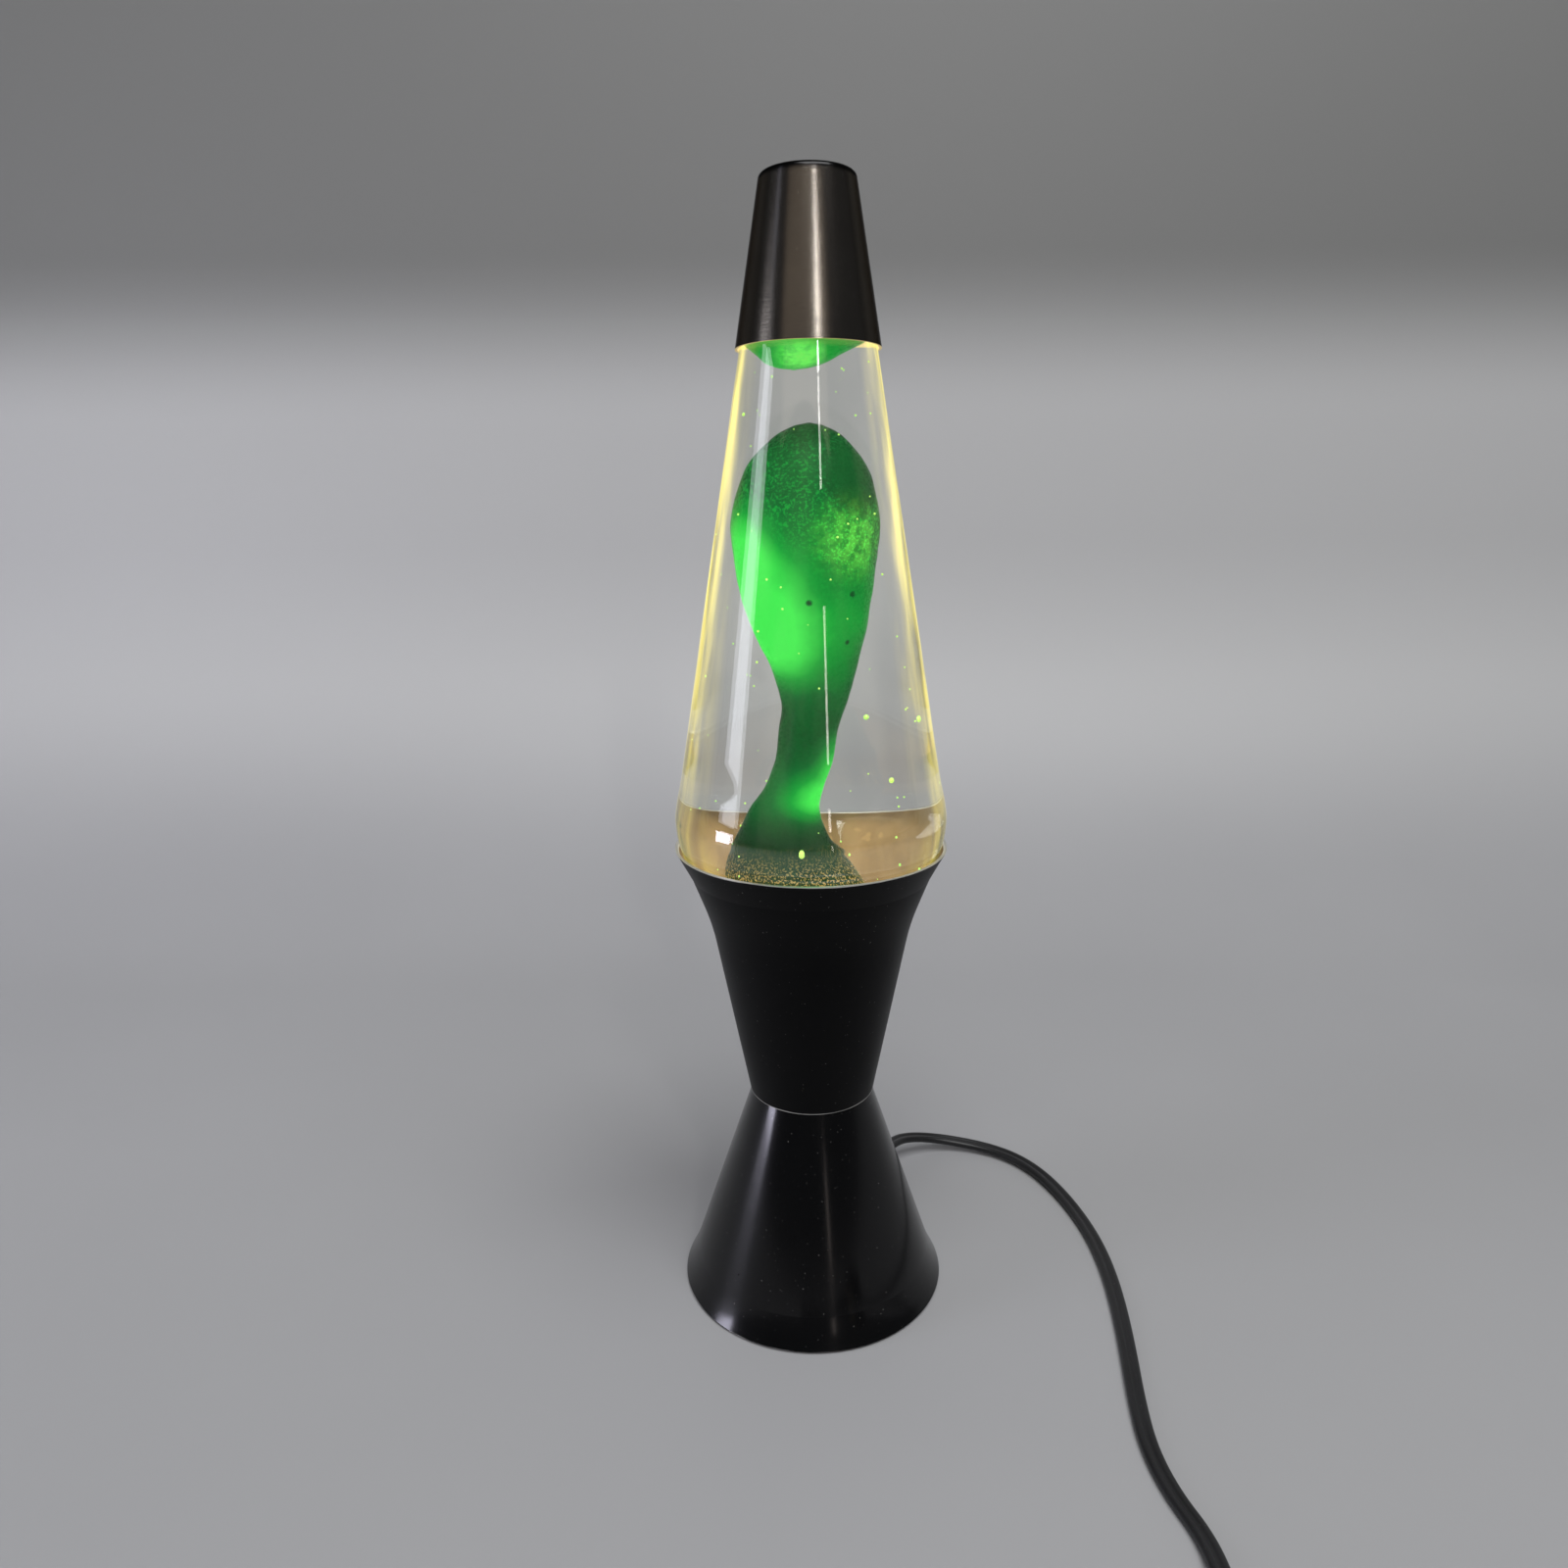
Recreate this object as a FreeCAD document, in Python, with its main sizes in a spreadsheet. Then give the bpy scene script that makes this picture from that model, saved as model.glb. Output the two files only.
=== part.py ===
"""Lava lamp: a spun aluminium hourglass base, a glass globe of liquid and wax that lifts out of
it, a cap that lifts off the globe, a screw-in bulb, and a flat cord with a rocker switch and plug.

Millimetres. +Z is up, and the origin is on the lamp's axis at the level of the table.
"""
import FreeCAD, Part
import Sketcher
import math
import os

Vector = FreeCAD.Vector
Rotation = FreeCAD.Rotation
Placement = FreeCAD.Placement
UP = Vector(0, 0, 1)
FULL_TURN = 360

doc = FreeCAD.newDocument("LavaLamp")

# ---------------------------------------------------------------- driving dimensions

SIZES = {
    # spun base: the cone that stands on the table, and the cup above it
    "metal": 1.0, "rim_lift": 1.0, "foot_r": 46.7, "flare_z": 10.8, "flare_r": 42.3,
    "flare_bend_r": 60.0, "cup_bend_r": 80.0,
    "waist_z": 74.1, "waist_r": 21.0, "flange_r": 13.0, "foot_curl": 2.2,
    "cup_low_z": 137.2, "cup_low_r": 34.1, "cup_mid_z": 153.9, "cup_mid_r": 40.5,
    "cup_rim_z": 163.5, "cup_rim_r": 45.6, "cup_lap": 0.8, "rivets": 3,
    # glass globe
    "gap": 0.4, "glass": 3.0, "globe_foot_z": 132.0, "globe_foot_r": 25.5, "globe_heel_r": 31.5,
    "globe_heel_z": 137.6, "punt": 4.0, "seat_z": 161.0, "seat_r": 42.85, "belly_z": 173.5,
    "belly_r": 45.2, "cone_z": 183.7, "cone_r": 43.3, "heel_bend_r": 6.6, "heel_in_r": 3.8,
    "seat_bend_r": 34.4, "belly_bend_r": 28.5, "shoulder_bend_r": 7.5, "clearance": 0.05,
    "cap_z": 319.8, "glass_cap_r": 21.0, "shoulder_z": 331.0, "shoulder_r": 19.2,
    "neck_z": 339.5, "neck_r": 12.4, "lip_z": 345.5, "lip_r": 13.3, "mouth_z": 349.0,
    "neck_bore": 9.4, "fill_z": 327.0,
    # closure and cap
    "crown_r": 16.05, "crown_skirt_z": 343.6, "crown_metal": 0.3, "flute_r": 1.3, "flutes": 21,
    "cap_r": 22.3, "cap_top_z": 368.0, "cap_top_r": 14.4, "cap_metal": 0.8, "cap_edge": 1.6,
    # wire coil in the bottom of the globe
    "coil_r": 21.0, "coil_wire_r": 2.4, "coil_z": 141.6,
    # bulb
    "tip_z": 63.3, "tip_r": 3.6, "tip_top_z": 65.0, "insulator_z": 67.2, "insulator_r": 7.4,
    "screw_r": 8.32, "screw_z": 83.0, "screw_metal": 0.5, "thread_pitch": 2.82,
    "bulb_neck_r": 7.7, "bulb_r": 17.4, "bulb_wide_z": 103.0, "bulb_top_z": 121.0,
    "bulb_glass": 0.8, "stem_r": 2.6, "stem_z": 97.0, "filament_r": 8.0, "filament_z": 106.0,
    "filament_rise": 3.0, "filament_root": 1.2, "filament_wire": 0.35, "filament_bend": 1.6,
    # lampholder
    "plate": 1.0, "plate_r": 19.6, "rivet_pcr": 16.9, "rivet_r": 1.5, "rivet_head_r": 2.2,
    "rivet_head": 1.0, "holder_r": 12.5, "holder_low_z": 53.0, "holder_top_z": 82.0,
    "collar_r": 14.2, "collar": 1.6, "ring_r": 14.4, "ring": 2.6, "shell_r": 9.2,
    "shell_bore": 8.65, "shell_low_z": 59.5, "contact_top_z": 62.9, "contact_w": 4.0,
    "contact_foot": 5.0, "contact_tip": 2.0, "leaf": 0.6,
    "terminal_x": 6.5, "terminal_r": 2.4, "terminal": 2.0, "screw_slot": 0.6,
    # underside
    "cover_z": 4.0, "cover": 2.0, "foot_pad_r": 5.0, "foot_pad_pcr": 34.0, "vent_w": 3.0,
    "vent_in_r": 12.0, "vent_out_r": 25.0, "vents": 12, "feet": 3, "first_foot_deg": 30.0,
    "foot_soft_r": 0.6,
    # cord, its strain relief and the wires inside the base
    "cord_w": 5.6, "cord_t": 2.8, "wire_r": 1.3, "exit_z": 12.0, "exit_deg": 60.0,
    "relief_r": 4.4, "relief_end_r": 3.6, "relief_in_r": 34.0,
    "relief_out_r": 45.0, "relief_tip_r": 62.0, "relief_flange_r": 6.0,
    # hank of cord put away
    "hank_x": 5.0, "hank_y": -201.0, "hank_mid_r": 31.0, "hank_w": 24.0, "hank_t": 5.7,
    "tie_w": 6.0, "tie": 1.2,
    # switch on the cord
    "switch_x": 110.5, "switch_y": -176.0, "switch_deg": -80.0, "switch_l": 62.0,
    "switch_w": 25.0, "switch_split_z": 7.0, "switch_top_z": 13.5, "switch_wall": 2.0,
    "switch_round": 7.0, "rocker_r": 9.6, "rocker_w": 10.0, "rocker_z": 8.6, "rocker_gap": 0.4,
    "rocker_tilt": 8.0, "pin_r": 1.0, "pin_slack": 0.05, "pin_l": 17.0, "cord_in_z": 5.0,
    # plug
    "plug_x": 46.0, "plug_y": -159.0, "plug_deg": 2.0, "plug_l": 27.0, "plug_w": 22.0,
    "plug_t": 12.0, "plug_tail_w": 10.0, "plug_tail_t": 7.0, "plug_z": 6.0, "blade_l": 16.5,
    "blade_t": 1.5, "blade_w": 6.35, "blade_wide_w": 7.9, "blade_gap": 12.7,
}

sheet = doc.addObject("Spreadsheet::Sheet", "Sizes")
for row, (alias, number) in enumerate(SIZES.items(), start=1):
    sheet.set("A%d" % row, alias)
    sheet.set("B%d" % row, str(number))
    sheet.setAlias("B%d" % row, alias)
doc.recompute()

sub_parts = []


def size(expression):
    """The number that an expression on the sheet's cells comes to."""
    return float(sheet.evalExpression(sheet_words(expression)))


def sheet_words(expression):
    """The expression with every sheet alias written as Sizes.alias."""
    words = ""
    word = ""
    for letter in str(expression) + " ":
        if letter.isalnum() or letter in "_.":
            word += letter
            continue
        words += "Sizes." + word if word in SIZES else word
        words += letter
        word = ""
    return words.strip()


def keep(node, part):
    """Label a sub-part with its node's name and list it for export."""
    part.Label = node
    sub_parts.append(part)
    return part


def new_body(node):
    return keep(node, doc.addObject("PartDesign::Body", node + "_body"))


def origin_plane(body, role):
    return next(plane for plane in body.Origin.OriginFeatures if plane.Role == role)


# ---------------------------------------------------------------- sketches bound to the sheet


def new_sketch(body, name, role, lift="0"):
    sketch = body.newObject("Sketcher::SketchObject", name)
    sketch.AttachmentSupport = [(origin_plane(body, role), "")]
    sketch.MapMode = "FlatFace"
    sketch.setExpression("AttachmentOffset.Base.z", sheet_words(lift))
    return sketch


def bind(sketch, kind, elements, expression):
    """Add a constraint whose value follows the sheet."""
    constraint = Sketcher.Constraint(kind, *elements, size(expression))
    index = sketch.addConstraint(constraint)
    sketch.setExpression("Constraints[%d]" % index, sheet_words(expression))


def pin_point(sketch, edge, end, across, up):
    """Hold one end of an edge at a place given by two expressions."""
    for kind, axis, expression in (("DistanceX", -2, across), ("DistanceY", -1, up)):
        if size(expression) == 0:
            sketch.addConstraint(Sketcher.Constraint("PointOnObject", edge, end, axis))
        else:
            bind(sketch, kind, (-1, 1, edge, end), expression)


def add_side(sketch, start, stop, radius):
    """Add one side of an outline and return its index with its start and end points."""
    if radius is None:
        return sketch.addGeometry(Part.LineSegment(start, stop)), 1, 2
    bulge = size(radius)
    chord = stop - start
    inward = Vector(-chord.y, chord.x, 0).normalize() * math.copysign(1, bulge)
    rise = math.sqrt(bulge ** 2 - (chord.Length / 2) ** 2)
    centre = (start + stop) / 2 + inward * rise
    turns = [math.atan2(point.y - centre.y, point.x - centre.x) for point in (start, stop)]
    ends = (1, 2)
    if bulge < 0:
        turns.reverse()
        ends = (2, 1)
    circle = Part.Circle(centre, UP, abs(bulge))
    side = sketch.addGeometry(Part.ArcOfCircle(circle, *turns))
    bind(sketch, "Radius", (side,), "abs(%s)" % radius)
    return side, ends[0], ends[1]


def draw_outline(sketch, corners):
    """Draw a closed outline. A corner is (across, up) or, where an arc starts, adds its radius:
    positive for an arc that turns left along the outline, negative for one that turns right."""
    places = [Vector(size(corner[0]), size(corner[1]), 0) for corner in corners]
    sides = []
    for number, corner in enumerate(corners):
        radius = corner[2] if len(corner) == 3 else None
        following = places[(number + 1) % len(places)]
        sides.append(add_side(sketch, places[number], following, radius))
    for number, corner in enumerate(corners):
        edge, start, _ = sides[number]
        before, _, stop = sides[number - 1]
        sketch.addConstraint(Sketcher.Constraint("Coincident", before, stop, edge, start))
        pin_point(sketch, edge, start, corner[0], corner[1])


def draw_circle(sketch, across, up, radius):
    circle = sketch.addGeometry(Part.Circle(Vector(size(across), size(up), 0), UP, size(radius)))
    bind(sketch, "Radius", (circle,), radius)
    pin_point(sketch, circle, 3, across, up)


def turned(node, corners, body=None):
    """A piece turned about the lamp's axis from an outline of (radius, height) corners."""
    body = body or new_body(node)
    sketch = new_sketch(body, node + "_outline", "XZ_Plane")
    draw_outline(sketch, corners)
    solid = body.newObject("PartDesign::Revolution", node + "_turned")
    solid.Profile = sketch
    solid.ReferenceAxis = (sketch, ["V_Axis"])
    solid.Angle = FULL_TURN
    return body


def padded(body, sketch, height):
    pad = body.newObject("PartDesign::Pad", sketch.Name + "_pad")
    pad.Profile = sketch
    pad.setExpression("Length", sheet_words(height))
    return pad


def pocketed(body, sketch, depth, upward=True):
    """Cut a pocket of the sketch's shape, and make sure that it has taken something away."""
    doc.recompute()
    before = body.Shape.Volume
    pocket = body.newObject("PartDesign::Pocket", sketch.Name + "_pocket")
    pocket.Profile = sketch
    pocket.setExpression("Length", sheet_words(depth))
    pocket.Reversed = upward
    doc.recompute()
    if body.Shape.Volume >= before:
        raise RuntimeError(sketch.Name + " cuts nothing")
    return pocket


def ring_of(body, feature, count):
    """Repeat a feature evenly about the lamp's axis."""
    pattern = body.newObject("PartDesign::PolarPattern", feature.Name + "_ring")
    pattern.Originals = [feature]
    pattern.Axis = (origin_plane(body, "Z_Axis"), [""])
    pattern.Angle = FULL_TURN
    pattern.setExpression("Occurrences", sheet_words(count))
    body.Tip = pattern
    return pattern


def round_edges(body, wanted, radius):
    """Fillet the edges of the body that pass the test."""
    doc.recompute()
    edges = ["Edge%d" % number for number, edge in enumerate(body.Shape.Edges, start=1)
             if wanted(edge)]
    rounded = body.Tip
    fillet = body.newObject("PartDesign::Fillet", body.Label + "_fillet")
    fillet.Base = (rounded, edges)
    fillet.setExpression("Radius", sheet_words(radius))
    return fillet


# ---------------------------------------------------------------- spun aluminium base


def make_base_cone():
    """Lower cone: straight sides, a flared foot curled in at the rim, and a flange at the waist."""
    body = turned("base_cone", [
        ("flange_r", "waist_z - metal"), ("waist_r - metal", "waist_z - metal"),
        ("flare_r - metal", "flare_z"), ("foot_r - metal * 1.6", "rim_lift + metal"),
        ("foot_r - metal - foot_curl", "rim_lift + metal"),
        ("foot_r - metal - foot_curl", "rim_lift"), ("foot_r", "rim_lift", "-flare_bend_r"),
        ("flare_r", "flare_z"), ("waist_r", "waist_z"), ("flange_r", "waist_z")])
    drill_rivet_holes(body, "base_cone", "waist_z")
    heading = math.radians(size("exit_deg"))
    hole = body.newObject("Sketcher::SketchObject", "cord_hole")
    draw_circle(hole, "0", "0", "relief_r")
    outward = Vector(math.cos(heading), math.sin(heading), 0)
    hole.Placement = Placement(outward * size("relief_in_r") + UP * size("exit_z"),
                               Rotation(UP, outward))
    pocketed(body, hole, "relief_tip_r - relief_in_r")


def drill_rivet_holes(body, node, top):
    """Rivet holes through the flange whose top is at the given height."""
    sketch = new_sketch(body, node + "_rivet_hole", "XY_Plane", top)
    draw_circle(sketch, "rivet_pcr", "0", "rivet_r")
    pocket = pocketed(body, sketch, "metal", upward=False)
    ring_of(body, pocket, "rivets")


def make_base_cup():
    """Upper cup: its flange sits on the cone's, with a raw edge just proud of the cone."""
    body = turned("base_cup", [
        ("flange_r", "waist_z"), ("waist_r + cup_lap", "waist_z"),
        ("cup_low_r", "cup_low_z"), ("cup_mid_r", "cup_mid_z"), ("cup_rim_r", "cup_rim_z"),
        ("cup_rim_r - metal", "cup_rim_z"), ("cup_mid_r - metal * 1.09", "cup_mid_z"),
        ("cup_low_r - metal * 1.05", "cup_low_z"), ("waist_r + cup_lap - metal", "waist_z + metal"),
        ("flange_r", "waist_z + metal")])
    bend = size("cup_low_z")
    round_edges(body, lambda edge: abs(edge.BoundBox.Center.z - bend) < 0.1
                and edge.BoundBox.ZLength < 0.1, "cup_bend_r")
    drill_rivet_holes(body, "base_cup", "waist_z + metal")


def make_socket_plate():
    """Round steel plate on the cup's flange, which carries the lampholder."""
    body = turned("socket_plate", [
        ("holder_r + clearance", "waist_z + metal"), ("plate_r", "waist_z + metal"),
        ("plate_r", "waist_z + metal + plate"), ("holder_r + clearance", "waist_z + metal + plate")])
    drill_rivet_holes(body, "socket_plate", "waist_z + metal + plate")


def make_rivets():
    """Three rivets that join the cone, the cup and the plate at the waist."""
    grip = "waist_z + metal + plate"
    profile = [("0", "waist_z - metal - rivet_head"), ("rivet_head_r", "waist_z - metal - rivet_head"),
               ("rivet_head_r", "waist_z - metal"), ("rivet_r", "waist_z - metal"),
               ("rivet_r", grip), ("rivet_head_r", grip),
               ("rivet_head_r * 0.7", grip + " + rivet_head"), ("0", grip + " + rivet_head")]
    rivet = turned("rivet", profile)
    sub_parts.remove(rivet)
    doc.recompute()
    copies = []
    for number in range(int(size("rivets"))):
        copy = rivet.Shape.copy()
        copy.translate(Vector(size("rivet_pcr"), 0, 0))
        copy.rotate(Vector(), UP, number * FULL_TURN / size("rivets"))
        copies.append(copy)
    group("waist_rivets", copies)


def group(node, shapes):
    """Like pieces kept together as separate solids of one sub-part."""
    part = doc.addObject("Part::Feature", node + "_group")
    part.Shape = Part.makeCompound(shapes)
    return keep(node, part)


# ---------------------------------------------------------------- globe and what is in it


def make_globe():
    """Blown glass globe: a punt in the foot, a belly over the cup's rim, a long cone and a neck."""
    turned("globe", [
        ("0", "globe_foot_z + punt"), ("globe_foot_r * 0.8", "globe_foot_z + punt * 0.5"),
        ("globe_foot_r", "globe_foot_z", "heel_bend_r"), ("globe_heel_r", "globe_heel_z"),
        ("cup_mid_r - metal * 1.09 - gap", "cup_mid_z"), ("seat_r", "seat_z", "seat_bend_r"),
        ("belly_r", "belly_z", "belly_bend_r"), ("cone_r", "cone_z"),
        ("glass_cap_r", "cap_z"), ("shoulder_r", "shoulder_z", "shoulder_bend_r"),
        ("neck_r", "neck_z"),
        ("neck_r", "lip_z - 1.2"), ("lip_r", "lip_z"), ("lip_r", "mouth_z"),
        ("neck_bore", "mouth_z"), ("neck_bore", "neck_z"),
        ("shoulder_r - glass", "shoulder_z - glass * 0.3"), ("glass_cap_r - glass", "cap_z"),
        ("cone_r - glass", "cone_z", "-belly_bend_r"),
        ("belly_r - glass", "belly_z", "-seat_bend_r"), ("seat_r - glass", "seat_z"),
        ("globe_heel_r - glass", "globe_heel_z + glass * 0.4", "-heel_in_r"),
        ("globe_foot_r - glass * 0.4", "globe_foot_z + glass"),
        ("0", "globe_foot_z + punt + glass")])


def inside_of_globe():
    """The space in the globe up to the fill level, just clear of the glass."""
    return turned("filling", [
        ("0", "globe_foot_z + punt + glass + clearance"),
        ("globe_foot_r - glass * 0.4", "globe_foot_z + glass + clearance"),
        ("globe_heel_r - glass - clearance * 6", "globe_heel_z + glass * 0.4"),
        ("seat_r - glass - clearance", "seat_z"),
        ("belly_r - glass - clearance * 5", "belly_z"), ("cone_r - glass - clearance", "cone_z"),
        ("glass_cap_r - glass - clearance", "cap_z"), ("shoulder_r - glass - clearance * 12", "fill_z"),
        ("0", "fill_z")])


# Wax column: the middle and the radius of each level, from the bottom of the globe upwards.
WAX_LEVELS = [(139.6, 0, 15.5), (142, 0, 17.5), (147, -1, 19), (154, -3, 18), (161, -5.4, 15.4),
              (167, -7.0, 11.6), (176, -6.4, 8.8), (184, -4.1, 7.4), (193, -1.5, 7.1),
              (203, -0.3, 7.3), (212, 1.0, 8.2), (222, 1.1, 10.3), (234, 0, 13.7), (246, -0.9, 16.0),
              (258, -1.0, 17.2), (268, -1.0, 17.5), (278, -0.7, 15.9), (286.5, -0.5, 12.9),
              (293.3, -0.1, 8.0), (296.4, 0.1, 3.4)]


def make_wax_column():
    """Wax that has risen from the mound on the floor of the globe into a tall blob."""
    rings = []
    for height, across, radius in WAX_LEVELS:
        circle = Part.Circle(Vector(across, 0, height), UP, radius)
        rings.append(Part.Wire([circle.toShape()]))
    part = doc.addObject("Part::Feature", "wax_column_loft")
    part.Shape = Part.makeLoft(rings, True, False)
    return keep("wax_column", part)


def make_wax_pool():
    """Cooled wax floating under the neck, with a rounded underside."""
    return turned("wax_pool", [
        ("0", "cap_z - 7"), ("6.5", "cap_z - 6"), ("13", "cap_z - 1.5"), ("16.6", "cap_z + 1.4"),
        ("14.8", "fill_z - 0.6"), ("0", "fill_z - 0.6")])


def make_wire_coil():
    """Coil of sprung wire lying round the floor of the globe, as its outer shape."""
    torus = doc.addObject("Part::Torus", "wire_coil_ring")
    torus.setExpression("Radius1", "Sizes.coil_r")
    torus.setExpression("Radius2", "Sizes.coil_wire_r")
    torus.setExpression("Placement.Base.z", "Sizes.coil_z")
    return keep("wire_coil", torus)


def make_filling():
    """Wax, coil and the liquid round them."""
    space = inside_of_globe()
    sub_parts.remove(space)
    column = make_wax_column()
    pool = make_wax_pool()
    coil = make_wire_coil()
    doc.recompute()
    part = doc.addObject("Part::Feature", "liquid_rest")
    part.Shape = space.Shape.cut([column.Shape, pool.Shape, coil.Shape])
    keep("liquid", part)


def make_crown_cap():
    """Pressed bottle closure crimped on the lip, with flutes, and its sealing disc."""
    body = turned("crown_cap", [
        ("crown_r", "crown_skirt_z"), ("crown_r * 0.9", "mouth_z + crown_metal + 1.0"),
        ("0", "mouth_z + crown_metal + 1.0"), ("0", "mouth_z + 1.0"),
        ("lip_r + 0.1", "mouth_z + 1.0"), ("lip_r + 0.1", "lip_z + 0.5"),
        ("crown_r - crown_metal * 2", "crown_skirt_z")])
    flute = new_sketch(body, "crown_flute", "XY_Plane", "crown_skirt_z")
    draw_circle(flute, "crown_r + flute_r * 0.55", "0", "flute_r")
    pocket = pocketed(body, flute, "2.4")
    ring_of(body, pocket, "flutes")
    turned("crown_liner", [
        ("0", "mouth_z"), ("lip_r", "mouth_z"), ("lip_r", "mouth_z + 1.0"), ("0", "mouth_z + 1.0")])


def make_cap():
    """Tall cap drawn from sheet, open below and closed on top, resting on the glass cone."""
    body = turned("cap", [
        ("cap_r - cap_metal", "cap_z"), ("cap_r", "cap_z"), ("cap_top_r", "cap_top_z"),
        ("0", "cap_top_z"), ("0", "cap_top_z - cap_metal"),
        ("cap_top_r - cap_metal", "cap_top_z - cap_metal")])
    top = size("cap_top_z")
    round_edges(body, lambda edge: edge.BoundBox.ZMin > top - 0.01
                and edge.BoundBox.XLength > size("cap_top_r"), "cap_edge * 0.9")


# ---------------------------------------------------------------- bulb and lampholder


def dome_radius(reach, rise):
    """Radius of the dome, centred on the axis, that rises this much over this reach."""
    return "(%s ^ 2 + %s ^ 2) / (2 * %s)" % (reach, rise, rise)


def make_bulb():
    """Clear bulb with an intermediate screw base, lead-in wires and a filament."""
    turned("bulb_tip", [("0", "tip_z"), ("tip_r * 0.8", "tip_z"), ("tip_r", "tip_top_z"),
                        ("0", "tip_top_z")])
    turned("bulb_insulator", [("0", "tip_top_z"), ("tip_r", "tip_top_z"),
                              ("insulator_r", "insulator_z"), ("0", "insulator_z")])
    screw = turned("bulb_screw_base", [
        ("screw_r - screw_metal - 1", "insulator_z"), ("insulator_r", "insulator_z"),
        ("screw_r", "insulator_z + 1.2"), ("screw_r", "screw_z"),
        ("screw_r - screw_metal", "screw_z"), ("screw_r - screw_metal", "insulator_z + 1.6"),
        ("screw_r - screw_metal - 1", "insulator_z + screw_metal")])
    cut_thread(screw)
    turned("bulb_envelope", [
        ("bulb_neck_r", "screw_z - 4"), ("bulb_neck_r", "screw_z + 1"),
        ("bulb_r * 0.9", "bulb_wide_z - 7", "20"),
        ("bulb_r", "bulb_wide_z", dome_radius("bulb_r", "(bulb_top_z - bulb_wide_z)")),
        ("0", "bulb_top_z"),
        ("0", "bulb_top_z - bulb_glass", "-" + dome_radius(
            "(bulb_r - bulb_glass)", "(bulb_top_z - bulb_glass - bulb_wide_z)")),
        ("bulb_r - bulb_glass", "bulb_wide_z", "-19.2"),
        ("bulb_r * 0.9 - bulb_glass", "bulb_wide_z - 7"),
        ("bulb_neck_r - bulb_glass", "screw_z + 1"), ("bulb_neck_r - bulb_glass", "screw_z - 4")])
    turned("bulb_stem", [("0", "screw_z - 4"), ("bulb_neck_r - bulb_glass", "screw_z - 4"),
                         ("bulb_neck_r - bulb_glass", "screw_z - 3"), ("stem_r", "screw_z - 1"),
                         ("stem_r * 0.7", "stem_z"), ("0", "stem_z")])
    make_filament()


def cut_thread(body):
    """Shallow round-bottomed grooves that stand for the rolled thread."""
    groove = new_sketch(body, "thread_groove", "XZ_Plane")
    draw_circle(groove, "screw_r + 0.55", "insulator_z + thread_pitch * 1.2", "thread_pitch * 0.3")
    cut = body.newObject("PartDesign::Groove", "thread_turn")
    cut.Profile = groove
    cut.ReferenceAxis = (origin_plane(body, "Z_Axis"), [""])
    cut.Angle = FULL_TURN
    doc.recompute()
    rows = body.newObject("PartDesign::LinearPattern", "thread_turns")
    rows.Originals = [cut]
    rows.Direction = (origin_plane(body, "Z_Axis"), [""])
    rows.setExpression("Length", sheet_words("thread_pitch * 4"))
    rows.Occurrences = 5
    body.Tip = rows


def rounded_wire(points, radius):
    """A path of straight runs with an arc of the given radius at each inner point."""
    edges = []
    start = points[0]
    for before, corner, after in zip(points, points[1:], points[2:]):
        back = (before - corner).normalize()
        onward = (after - corner).normalize()
        half = (math.pi - back.getAngle(onward)) / 2
        reach = radius(before, corner, after, half) * math.tan(half)
        arc_start = corner + back * reach
        arc_stop = corner + onward * reach
        middle = (back + onward).normalize()
        away = reach / math.tan(half) * (1 / math.cos(half) - 1)
        edges.append(Part.LineSegment(start, arc_start).toShape())
        edges.append(Part.Arc(arc_start, corner + middle * away, arc_stop).toShape())
        start = arc_stop
    edges.append(Part.LineSegment(start, points[-1]).toShape())
    return Part.Wire(edges)


def round_tube(path, radius):
    """A round tube along a path, checked against its section times its length."""
    start = path.Edges[0]
    section = Part.Circle(start.valueAt(start.FirstParameter),
                          start.tangentAt(start.FirstParameter), radius).toShape()
    tube = path.makePipeShell([Part.Wire([section])], True, False)
    check_volume(tube, math.pi * radius ** 2 * path.Length)
    return tube


def check_volume(tube, expected):
    if not tube.isValid() or abs(tube.Volume / expected - 1) > 0.02:
        raise RuntimeError("a tube's volume is %.1f, not %.1f" % (tube.Volume, expected))


def make_filament():
    """Tungsten filament arched between its two lead-in wires."""
    reach = size("filament_r")
    root = size("filament_root")
    high = size("filament_z")
    crest = high + size("filament_rise")
    route = [Vector(-root, 0, size("stem_z")), Vector(-reach, 0, high), Vector(0, 0, crest),
             Vector(reach, 0, high), Vector(root, 0, size("stem_z"))]
    part = doc.addObject("Part::Feature", "bulb_filament_wire")
    part.Shape = round_tube(rounded_wire(route, lambda *corner: size("filament_bend")),
                            size("filament_wire"))
    keep("bulb_filament", part)


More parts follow.
